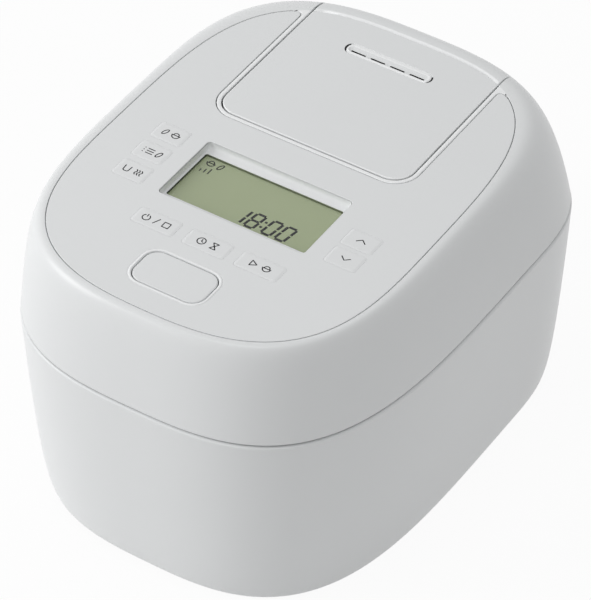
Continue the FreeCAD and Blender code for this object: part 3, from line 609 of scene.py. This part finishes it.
# Control panel: a 2 mm sheet of satin white plastic let into the lid's top, flush with the land around
# it. It has openings for the display, the eight keys and the lid button, with a low bead round the last.
# Each step of the bead is a distance from the opening and a depth below the panel's face, in millimetres.
display_width = 92 * mm
display_depth = 49.3 * mm
display_corner = 2.5 * mm
display_edge_r = 0.4 * mm
panel_edge_r = 0.3 * mm
key_gap = 0.06 * mm
key_corner = 2.0 * mm
button_gap = 0.5 * mm
button_corner = 8.0 * mm
button_bead = [(2.4, 0), (2.2, 0.1), (2.0, 0.15), (1.85, 0.08), (1.6, -0.08), (1.2, -0.2), (0.8, -0.22),
               (0.45, -0.12), (0.18, 0.12), (0, 0.6)]
bead_start = 0.01 * mm
key_words = ("cancel", "timer", "cook", "up", "down", "rice", "menu", "warm")
panel_dark = (0.775, 0.788, 0.793)
panel_light = (0.795, 0.808, 0.813)


def rounded_rectangle(x, y, width, depth, corner):
    across = width / 2 - corner
    along = depth / 2 - corner
    path = []
    for turn, side, end in ((-90, 1, -1), (0, 1, 1), (90, -1, 1), (180, -1, -1)):
        path += arc(x + side * across, y + end * along, corner, turn, turn + 90)
    return path


def around(node, grow, corner):
    """A rounded rectangle round a CAD node's plan."""
    low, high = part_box(node)
    middle = (low + high) / 2
    size = high - low
    return rounded_rectangle(middle.x, middle.y, size.x + 2 * grow, size.y + 2 * grow, corner + grow)


bezel_low, bezel_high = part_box("display_bezel")
display_y = (bezel_low.y + bezel_high.y) / 2
display_hole = rounded_rectangle(0, display_y, display_width, display_depth, display_corner)
bead = [(across * mm, down * mm) for across, down in button_bead]
holes = [(display_hole, rounded(display_edge_r)), (around("lid_button", button_gap, button_corner), bead)]
for word in key_words:
    holes.append((around("key_" + word, key_gap, key_corner), rounded(key_gap)))
bm = bmesh.new()
plate(bm, panel_high.z, panel_low.z, panel_path, rounded(panel_edge_r), holes)
# The bead's raised faces take the whiter white: a painted highlight round the lid button.
for face in bm.faces:
    if face.calc_center_median().z > panel_high.z + bead_start:
        face.material_index = highlight_slot
panel_plastic = surface("panel_plastic", panel_dark, panel_light, rough=(0.31, 0.37), scale=12, bump=0.03)
panel = place("control_panel_sheet", bm, panel_plastic, "lid", "panel_white", "control_panel")
panel.data.materials.append(highlight_white)

# Display: a white bezel that scoops down to the screen frames a green-grey liquid crystal panel under
# a clear window. Its dark segments show a clock reading, and small signs stand in the rear left corner.
# Figures and signs are drawn in millimetres.
bezel_fit = 0.3 * mm
scoop_depth = 4.9 * mm
scoop_bend = 1.35
scoop_steps = 9
window_low, window_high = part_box("display_window")
glass_low, glass_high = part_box("display_glass")
screen_lap = 1.5 * mm
screen_near_lap = 0.35 * mm
window_lift = 0.25 * mm
glass_drop = 0.1 * mm
ink_height = 0.06 * mm
lcd_dark = (0.312, 0.366, 0.205)
lcd_light = (0.347, 0.401, 0.235)
clear_dark = (0.92, 0.93, 0.92)
clear_light = (0.97, 0.98, 0.97)
clear_shine = (0.0, 0.06)
digit_width = 5.6
digit_height = 11.6
digit_pitch = 8.6
digit_slant = 0.15
digit_gap = 0.45
digit_steps = (0, 1, 2.25, 3.25)
digit_ink = 1.6 * mm
digit_place = (-5.3 * mm, -52.1 * mm)
colon_step = 1.95
colon_heights = (0.3, 0.68)
colon_half = 0.7
sign_ink = 0.75 * mm
sign_place = (-38.5 * mm, -20.3 * mm)
sign_kernel_x = 6.2
sign_stairs = (0.4, -6.0)
kernel_half_width = 1.1
kernel_half_height = 2.2
kernel_lean = 0.8
kernel_steps = 16
border_ink = 0.34 * mm
stroke_shares = (0, 0.1, 0.9)
stroke_rounding = 2
ink_dark = (0.012, 0.012, 0.013)
ink_light = (0.02, 0.02, 0.022)
ink_gloss = 0.1
screen_low = window_low + Vector((screen_near_lap, screen_near_lap, 0))
screen_high = window_high - Vector((screen_lap, screen_lap, 0))
screen_middle = (screen_low + screen_high) / 2
screen_size = screen_high - screen_low
screen_edge = rounded_rectangle(screen_middle.x, screen_middle.y, screen_size.x, screen_size.y,
                                display_corner / 2)
bezel_edge = offset(display_hole, -bezel_fit)
rows = [level(bezel_edge, bezel_high.z - scoop_depth)]
for turn in quarter(scoop_steps):
    dip = 2 * bezel_fit + (scoop_depth - 3 * bezel_fit) * math.sin(turn)
    share = (1 - math.cos(turn)) ** scoop_bend
    rows.append(level(mix(bezel_edge, screen_edge, share), bezel_high.z - dip))
rows.append(level(screen_edge, bezel_high.z - scoop_depth))
bm = bmesh.new()
stack(bm, rows + rows[:1])
place("display_bezel_frame", bm, panel_plastic, "lid", "bezel_grey", "display_bezel")

bm = bmesh.new()
glass_path = around("display_glass", 0, display_corner)
plate(bm, glass_high.z - glass_drop, glass_low.z, glass_path, rounded(land_edge_r))
lcd = surface("display_green", lcd_dark, lcd_light, rough=(0.3, 0.36), scale=25)
place("display_panel", bm, lcd, "lid", "display_green", "display_glass")


def clear_sheet(name):
    """Clear plastic: the light goes straight through, apart from the shine that grows towards the edge."""
    material = surface(name, clear_dark, clear_light, rough=(0.1, 0.16))
    tree = material.node_tree
    see_through = tree.nodes.new("ShaderNodeBsdfTransparent")
    turned = tree.nodes.new("ShaderNodeLayerWeight")
    shine = tree.nodes.new("ShaderNodeMapRange")
    shine.inputs["To Min"].default_value = clear_shine[0]
    shine.inputs["To Max"].default_value = clear_shine[1]
    blend = tree.nodes.new("ShaderNodeMixShader")
    tree.links.new(turned.outputs["Facing"], shine.inputs["Value"])
    tree.links.new(shine.outputs["Result"], blend.inputs["Fac"])
    tree.links.new(see_through.outputs["BSDF"], blend.inputs[1])
    tree.links.new(tree.nodes["Principled BSDF"].outputs["BSDF"], blend.inputs[2])
    tree.links.new(blend.outputs["Shader"], tree.nodes["Material Output"].inputs["Surface"])
    tree.nodes["Principled BSDF"].inputs["Metallic"].default_value = 1.0
    return material


bm = bmesh.new()
plate(bm, window_high.z - glass_drop, window_low.z + window_lift, glass_path, rounded(land_edge_r))
place("display_window_sheet", bm, clear_sheet("display_clear"), "lid", "display_clear", "display_window")


def full_width(points, closed):
    """Adds a point near both ends of each stroke, so that it keeps its width between sharp corners."""
    corners = [Vector(point) for point in points]
    ends = corners[1:] + corners[:1] if closed else corners[1:]
    path = [start.lerp(end, share) for start, end in zip(corners, ends) for share in stroke_shares]
    return path if closed else path + corners[-1:]


def print_lines(name, lines, ink, place_at, body, material):
    """Flat printed lines, given in millimetres about a point on the face that they are printed on."""
    curve = bpy.data.curves.new(name, "CURVE")
    curve.dimensions = "3D"
    curve.bevel_depth = ink / 2
    curve.bevel_resolution = stroke_rounding
    curve.use_fill_caps = True
    for points, closed in lines:
        spline = curve.splines.new("POLY")
        path = full_width(points, closed)
        spline.points.add(len(path) - 1)
        for control, (x, y) in zip(spline.points, path):
            control.co = (x * mm, y * mm, 0, 1)
        spline.use_cyclic_u = closed
    drawn = bpy.data.objects.new(name, curve)
    mesh = bpy.data.meshes.new_from_object(drawn)
    bpy.data.objects.remove(drawn)
    bpy.data.curves.remove(curve)
    mesh.transform(Matrix.Translation(place_at) @ Matrix.Diagonal((1, 1, 2 * ink_height / ink, 1)))
    mesh.materials.clear()
    mesh.materials.append(material)
    mesh.name = name
    made = bpy.data.objects.new(name, mesh)
    bpy.context.scene.collection.objects.link(made)
    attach(made, body)


def digit(step, segments):
    """The lit bars of one slanted seven-segment figure."""
    left = step * digit_pitch
    ends = {"top": (0, 1, 1, 1), "middle": (0, 0.5, 1, 0.5), "bottom": (0, 0, 1, 0),
            "upper_left": (0, 0.5, 0, 1), "upper_right": (1, 0.5, 1, 1),
            "lower_left": (0, 0, 0, 0.5), "lower_right": (1, 0, 1, 0.5)}
    lines = []
    for segment in segments:
        x0, y0, x1, y1 = ends[segment]
        a = Vector((x0 * digit_width, y0 * digit_height))
        b = Vector((x1 * digit_width, y1 * digit_height))
        trim = (b - a).normalized() * digit_gap
        bar = [(left + p.x + digit_slant * p.y, p.y) for p in (a + trim, b - trim)]
        lines.append((bar, False))
    return lines


zero = ("top", "bottom", "upper_left", "upper_right", "lower_left", "lower_right")
one = ("upper_right", "lower_right")
eight = (*zero, "middle")
reading = []
for step, segments in zip(digit_steps, (one, eight, zero, zero)):
    reading += digit(step, segments)
for share in colon_heights:
    y = share * digit_height
    x = colon_step * digit_pitch + digit_slant * y
    reading.append(([(x, y - colon_half), (x, y + colon_half)], False))
ink = surface("printed_ink", ink_dark, ink_light, rough=(0.5, 0.6), scale=80)
ink.node_tree.nodes["Principled BSDF"].inputs["Specular IOR Level"].default_value = ink_gloss
screen_z = glass_high.z - glass_drop
print_lines("display_digits", reading, digit_ink, (*digit_place, screen_z), "lid", ink)
border = [tuple(point / mm) for point in offset(screen_edge, -border_ink / 2)]
print_lines("display_border", [(border, True)], border_ink, (0, 0, screen_z), "lid", ink)


def circle(x, y, radius, start=0, end=360, steps=24):
    return [tuple(point) for point in arc(x, y, radius, start, end, steps)]


def shifted(lines, x, y=0.0):
    return [([(a + x, b + y) for a, b in points], closed) for points, closed in lines]


bowl = [(circle(0, 0.3, 2.3, 180, 360), False), ([(-2.8, 0.3), (2.8, 0.3)], False),
        (circle(0, 0.5, 1.6, 0, 180), False)]
kernel_path = []
for step in range(kernel_steps):
    turn = math.tau * step / kernel_steps
    x = kernel_half_width * math.cos(turn) + kernel_lean * math.sin(turn)
    kernel_path.append((x, kernel_half_height * math.sin(turn)))
kernel = [(kernel_path, True)]
stairs = [([(x, -2.2), (x, -0.2 + 1.3 * step)], False) for step, x in enumerate((-2.6, 0, 2.6))]
signs = bowl + shifted(kernel, sign_kernel_x) + shifted(stairs, *sign_stairs)
print_lines("display_bowl_mark", signs, sign_ink, (*sign_place, screen_z), "lid", ink)
dress(black_plastic, "display_backlight")

# Keys: eight soft white pads that stand a fifth of a millimetre proud of the panel, each on its own
# switch on the board below. Each has a thin printed sign, drawn in millimetres about its middle.
mark_ink = 0.64 * mm
key_proud = 0.19 * mm
key_slope = 1.6 * mm
key_slope_steps = 6
key_dark = (0.78, 0.792, 0.797)
key_light = (0.80, 0.812, 0.817)
key_plastic = surface("key_plastic", key_dark, key_light, rough=(0.33, 0.39), scale=14, bump=0.03)
power = [(circle(0, -0.2, 2.2, 120, 420), False), ([(0, 0.4), (0, 2.6)], False)]
slash = [([(-1.1, -2.4), (1.1, 2.4)], False)]
stop = [([(-1.9, -1.9), (1.9, -1.9), (1.9, 1.9), (-1.9, 1.9)], True)]
clock = [(circle(0, 0, 2.4)[:-1], True), ([(0, 1.5), (0, 0), (1.2, -0.7)], False)]
hourglass = [([(-1.8, 2.3), (1.8, 2.3), (-1.8, -2.3), (1.8, -2.3)], True)]
play = [([(-1.6, -2.1), (-1.6, 2.1), (2.1, 0)], True)]
list_heights = (-1.8, 0, 1.8)
bars = [([(-2.2, y), (2.2, y)], False) for y in list_heights]
dots = [([(-0.3, y), (0.3, y)], False) for y in list_heights]
wave_swing = 0.45
wave_rate = 1.9
wave_heights = [-2.2 + 0.4 * i for i in range(12)]
wave = [([(wave_swing * math.sin(y * wave_rate), y) for y in wave_heights], False)]
waves = shifted(wave, -1.6) + wave + shifted(wave, 1.6)
cup = [([(-1.9, 2.2), (-1.6, -1.6), (-0.9, -2.2), (0.9, -2.2), (1.6, -1.6), (1.9, 2.2)], False)]
key_marks = {
    "cancel": shifted(power, -6.4) + slash + shifted(stop, 6.2),
    "timer": shifted(clock, -4) + shifted(hourglass, 4),
    "cook": shifted(play, -4) + shifted(bowl, 4),
    "up": [([(-2.8, -1.2), (0, 1.2), (2.8, -1.2)], False)],
    "down": [([(-2.8, 1.2), (0, -1.2), (2.8, 1.2)], False)],
    "rice": shifted(kernel, -3.4) + shifted(bowl, 3.2),
    "menu": shifted(dots, -5) + shifted(bars, -1) + shifted(kernel, 4.6),
    "warm": shifted(cup, -3.6) + shifted(waves, 3.6),
}
key_edge = []
for step in range(key_slope_steps + 1):
    turn = math.pi * step / key_slope_steps
    key_edge.append((key_slope * (1 - step / key_slope_steps), key_proud * (1 - math.cos(turn)) / 2))
for word in key_words:
    low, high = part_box("key_" + word)
    body = "key_" + word + "_cap"
    bm = bmesh.new()
    key_top = high.z - ink_height
    plate(bm, key_top, low.z, around("key_" + word, 0, key_corner), key_edge)
    place("key_" + word + "_pad", bm, key_plastic, body, "key_white", "key_" + word)
    middle = (low + high) / 2
    print_lines("key_" + word + "_mark", key_marks[word], mark_ink, (middle.x, middle.y, key_top), body, ink)
dress(green_board, "control_board")
dress(steel, "board_screws")
dress(black_plastic, "key_switches")

# Lid button and latch: the white button slides in a guide under the panel against a coil spring, and its
# stem turns a grey latch lever whose hook goes through the rim frame to the catch.
button_edge_r = 0.7 * mm
button_thick = 4.8 * mm
stem_width = 12 * mm
stem_depth = 5 * mm
button_low, button_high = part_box("lid_button")
bm = bmesh.new()
button_path = around("lid_button", 0, button_corner)
plate(bm, button_high.z, button_high.z - button_thick, button_path, rounded(button_edge_r))
button_middle = (button_low + button_high) / 2
stem_top = button_high.z - button_thick / 2
stem = bmesh.ops.create_cube(bm, size=1)["verts"]
bmesh.ops.scale(bm, vec=(stem_width, stem_depth, stem_top - button_low.z), verts=stem)
bmesh.ops.translate(bm, vec=(0, button_middle.y, (stem_top + button_low.z) / 2), verts=stem)
place("lid_button_pad", bm, panel_plastic, "button", "key_white", "lid_button")
dress(grey_plastic, "button_guide", "latch_lever")
dress(steel, "button_spring")

# Steam cap: a white cover that carries on the lid's top and rear shoulder, lifts straight off, and has a
# grey base with a seal under it. A fine groove runs where its top meets the shoulder, and the long sunk
# vent near it has four slits along its front and a gap at each end.
cap_skin = 1.6 * mm
cap_trim = 0.65 * mm
cap_edge_r = 0.6 * mm
cap_edge_segments = 3
cap_steps = 30
crease_share = 0.06
# Each ring of the groove: a share of the shoulder, then steps inwards and down in millimetres.
crease_rows = [(0.048, 0, 0.12), (0.035, 0, 0.32), (0.02, 0, 0.6), (0, 0, 0.92), (0, 0.3, 1.05),
               (0, 0.5, 1.0), (0, 0.65, 0.5), (0, 0.8, 0)]
crease_white_rows = 3
crease_end = 1.2 * mm
crease_run = 4.0 * mm
vent_y = 98 * mm
vent_length = 56 * mm
vent_width = 9.5 * mm
# Each ring of the vent's lip: steps inwards and down in millimetres, then what its ends add to them.
vent_rim = [(0, 0, 0, 0), (0.04, 0.35, 0, 0.15), (0.08, 0.75, 0, 0.9), (0.2, 0.95, 0.3, 0.95),
            (0.35, 0.86, 0.5, 0.85), (0.7, 0.6, 0.45, 0), (1.1, 0.32, 0.3, 0), (1.5, 0.12, 0.15, 0),
            (1.8, 0.02, 0.05, 0), (2, 0, 0, 0)]
vent_lip_row = 5
lip_share = 0.6
lip_tilt = 0.8
vent_gap_share = 0.4
vent_floor = [(2.5, 0.14), (3.0, 0.46), (3.65, 0.85)]
vent_shift = 1.2 * mm
slit_length = 9.4 * mm
slit_width = 1.2 * mm
slit_pitch = 12.6 * mm
slit_steps = (-1.5, -0.5, 0.5, 1.5)
slit_depth = 1.6 * mm
shadow_dark = (0.02, 0.02, 0.02)
shadow_light = (0.03, 0.03, 0.03)
cap_shadow_slot = 1
cap_highlight_slot = 2
fold_from = 0.5
wall_below = 0.05
low_share = lid_share(cap_low.z)
cap_x = cap_high.x - cap_trim
rows = []
for step in range(cap_steps + 1):
    rows.append(shoulder_ring(low_share + (crease_share - low_share) * step / cap_steps))
for share, inward, down in crease_rows:
    ring = shoulder_ring(share, inward * mm)
    for point in ring:
        point.z -= down * mm * min(1, max(0, (cap_x - abs(point.x) - crease_end) / crease_run))
    rows.append(ring)
bm = bmesh.new()
rings = stack(bm, rows)
# The groove's faces take the whiter white: a painted highlight line along the crease.
crease = rings[-len(crease_rows):-crease_white_rows]
for face in {face for ring in crease for vert in ring for face in vert.link_faces}:
    face.material_index = cap_highlight_slot
for point, normal in (((cap_x, 0, 0), (1, 0, 0)), ((-cap_x, 0, 0), (-1, 0, 0)), ((0, 0, 0), (0, -1, 0))):
    bmesh.ops.bisect_plane(bm, geom=bm.verts[:] + bm.edges[:] + bm.faces[:], dist=weld_reach,
                           plane_co=point, plane_no=normal, clear_outer=True)
weld(bm)
shoulder_sides = [edge for edge in bm.edges if edge.is_boundary
                  and all(abs(abs(vert.co.x) - cap_x) < same_place for vert in edge.verts)]
flat_rear = [edge for edge in bm.edges if edge.is_boundary and edge not in shoulder_sides
             and all(abs(vert.co.z - cap_high.z) < same_place for vert in edge.verts)]
rear_ends = sorted({vert for edge in flat_rear for vert in edge.verts}, key=lambda vert: vert.co.x)
front_half = cap_front(-cap_trim)
front_path = front_half + [Vector((-point.x, point.y)) for point in reversed(front_half)]
chain = [rear_ends[-1], *[bm.verts.new(point) for point in level(front_path, cap_high.z)], rear_ends[0]]
flat_front = [bm.edges.new(pair) for pair in zip(chain, chain[1:])]


def stadium(x, y, length, width, steps=16):
    reach = (length - width) / 2
    return arc(x + reach, y, width / 2, -90, 90, steps) + arc(x - reach, y, width / 2, 90, 270, steps)


vent_path = stadium(0, vent_y, vent_length, vent_width)
vent_sink = vent_floor[-1][1] * mm
vent_reach = (vent_length - vent_width) / 2
vent_ends = [max(0.0, (abs(point.x) - vent_reach) / (vent_width / 2)) ** 2 for point in vent_path]
rows = []
for inward, down, end_inward, end_down in vent_rim:
    side_ring = level(offset(vent_path, -inward * mm), cap_high.z)
    end_ring = level(offset(vent_path, -(inward + end_inward) * mm), cap_high.z)
    ring = [a.lerp(b, end) for a, b, end in zip(side_ring, end_ring, vent_ends)]
    for point, end in zip(ring, vent_ends):
        deep = lip_share - lip_tilt * (point.y - vent_y) / vent_width
        point.z -= down * mm * deep + end_down * end * mm
    rows.append(ring)
for inward, down in vent_floor:
    ring = level(offset(vent_path, -inward * mm), cap_high.z - down * mm)
    rows.append([point - Vector((0, vent_shift * down * mm / vent_sink, 0)) for point in ring])
vent = stack(bm, rows)
# The vent's lip takes the whiter white: a painted highlight along the lip.
for face in {face for ring in vent[vent_lip_row:len(vent_rim)] for vert in ring for face in vert.link_faces}:
    face.material_index = cap_highlight_slot
end_gaps = {vert for ring in vent[1:vent_lip_row + 1]
            for vert, end in zip(ring, vent_ends) if end > vent_gap_share}
for face in {face for vert in end_gaps for face in vert.link_faces}:
    if end_gaps.issuperset(face.verts):
        face.material_index = cap_shadow_slot
flat_edges = flat_rear + flat_front + ring_edges(bm, vent[0])
bmesh.ops.triangle_fill(bm, use_beauty=True, edges=flat_edges, normal=(0, 0, 1))
floor_edges = ring_edges(bm, vent[-1])
slit_faces = []
for step in slit_steps:
    path = stadium(step * slit_pitch, vent_y - vent_shift, slit_length, slit_width)
    slit = stack(bm, [level(path, cap_high.z - vent_sink), level(path, cap_high.z - vent_sink - slit_depth)])
    floor_edges += ring_edges(bm, slit[0])
    slit_faces += bmesh.ops.contextual_create(bm, geom=ring_edges(bm, slit[1]))["faces"]
    slit_faces += {face for vert in slit[1] for face in vert.link_faces}
bmesh.ops.triangle_fill(bm, use_beauty=True, edges=floor_edges, normal=(0, 0, 1))
for face in slit_faces:
    face.material_index = cap_shadow_slot
top_edges = shoulder_sides + flat_front
skirt = bmesh.ops.extrude_edge_only(bm, edges=top_edges)["geom"]
for vert in (item for item in skirt if isinstance(item, bmesh.types.BMVert)):
    vert.co.z = cap_low.z
weld(bm)
rim = [edge for edge in bm.edges if not edge.is_boundary and edge.calc_face_angle(0) > fold_from
       and all(vert.co.z > cap_low.z + cap_edge_r for vert in edge.verts)
       and abs(abs(edge.verts[0].co.x) - cap_x) < cap_corner + same_place
       and any(abs(face.normal.z) < wall_below for face in edge.link_faces)]
bevelled = bmesh.ops.bevel(bm, geom=rim, offset=cap_edge_r, offset_type="OFFSET", affect="EDGES",
                           segments=cap_edge_segments, profile=0.5, material=-1, clamp_overlap=False)
# The cap's rounded edges take the whiter white: a painted highlight along them.
for face in bevelled["faces"]:
    face.material_index = cap_highlight_slot
cap = place("steam_cap_cover_skin", bm, white_plastic, "steam_cap", "body_white", "steam_cap_cover")
cap.data.materials.append(surface("slit_shadow", shadow_dark, shadow_light, rough=(0.7, 0.8)))
cap.data.materials.append(highlight_white)
skin = cap.modifiers.new("skin", "SOLIDIFY")
skin.thickness = cap_skin
skin.offset = -1
dress(grey_plastic, "steam_cap_base")
dress(seal, "steam_cap_gasket")

# Stage: a pale floor that the light falls on softly and that shows only the cooker's own shadow, a large
# lamp at the front left, weak ones at the rear left and overhead, and the camera where the photograph was
# taken from.
plain_white = (1, 1, 1, 1)
floor_half = 6.0
floor_tint = (0.82, 0.82, 0.82, 1)
floor_rough = 0.9
shadow_share = 0.06
sky_strength = 0.51
key_place = (-1.75, -1.35, 1.15)
key_size = 1.3
key_watts = 25
rear_place = (-1.6, 1.0, 1.7)
rear_size = 1.0
rear_watts = 2.6
top_place = (-0.15, -0.2, 1.9)
top_size = 0.5
top_watts = 3.4
aim = Vector((0, 0, 0.09))
camera_place = Vector((0.8430, -1.2957, 1.5080))
camera_azimuth = math.radians(32.975)
camera_elevation = math.radians(42.605)
camera_lens = 227.86
bm = bmesh.new()
bmesh.ops.create_grid(bm, x_segments=1, y_segments=1, size=floor_half)
floor_mesh = bpy.data.meshes.new("floor")
bm.to_mesh(floor_mesh)
bm.free()
floor = bpy.data.objects.new("floor", floor_mesh)
bpy.context.scene.collection.objects.link(floor)


def show_white(tree, lit, white, share):
    """Lets the camera, shine and glass meet plain white where all other light meets the lit surface."""
    rays = tree.nodes.new("ShaderNodeLightPath")
    sight = rays.outputs["Is Camera Ray"]
    for kind in ("Is Glossy Ray", "Is Transmission Ray"):
        either = tree.nodes.new("ShaderNodeMath")
        either.operation = "MAXIMUM"
        tree.links.new(sight, either.inputs[0])
        tree.links.new(rays.outputs[kind], either.inputs[1])
        sight = either.outputs["Value"]
    part = tree.nodes.new("ShaderNodeMath")
    part.operation = "MULTIPLY"
    part.inputs[1].default_value = share
    blend = tree.nodes.new("ShaderNodeMixShader")
    output = next(node for node in tree.nodes if "Surface" in node.inputs and not node.outputs)
    tree.links.new(sight, part.inputs[0])
    tree.links.new(part.outputs["Value"], blend.inputs["Fac"])
    tree.links.new(lit.outputs[0], blend.inputs[1])
    tree.links.new(white.outputs[0], blend.inputs[2])
    tree.links.new(blend.outputs["Shader"], output.inputs["Surface"])


floor_material = bpy.data.materials.new("floor_white")
floor_material.use_nodes = True
tree = floor_material.node_tree
lit = tree.nodes["Principled BSDF"]
lit.inputs["Base Color"].default_value = floor_tint
lit.inputs["Roughness"].default_value = floor_rough
show_white(tree, lit, tree.nodes.new("ShaderNodeEmission"), 1 - shadow_share)
floor_mesh.materials.append(floor_material)

world = bpy.data.worlds.new("studio")
world.use_nodes = True
bpy.context.scene.world = world
tree = world.node_tree
sky = tree.nodes["Background"]
sky.inputs["Color"].default_value = plain_white
sky.inputs["Strength"].default_value = sky_strength
white = tree.nodes.new("ShaderNodeBackground")
white.inputs["Color"].default_value = plain_white
show_white(tree, sky, white, 1)


def lamp(name, place_at, size, watts):
    light = bpy.data.lights.new(name, "AREA")
    light.size = size
    light.energy = watts
    made = bpy.data.objects.new(name, light)
    made.location = place_at
    made.rotation_euler = (Vector(place_at) - aim).to_track_quat("Z", "Y").to_euler()
    bpy.context.scene.collection.objects.link(made)


lamp("front_left_lamp", key_place, key_size, key_watts)
lamp("rear_lamp", rear_place, rear_size, rear_watts)
lamp("overhead_lamp", top_place, top_size, top_watts)

back = Vector((math.sin(camera_azimuth) * math.cos(camera_elevation),
               -math.cos(camera_azimuth) * math.cos(camera_elevation), math.sin(camera_elevation)))
right = Vector((math.cos(camera_azimuth), math.sin(camera_azimuth), 0))
camera_data = bpy.data.cameras.new("camera")
camera_data.lens = camera_lens
camera = bpy.data.objects.new("camera", camera_data)
camera_turn = Matrix((right, back.cross(right), back)).transposed().to_4x4()
camera.matrix_world = Matrix.Translation(camera_place) @ camera_turn
bpy.context.scene.collection.objects.link(camera)
bpy.context.scene.camera = camera
bpy.context.scene.view_settings.view_transform = "Standard"
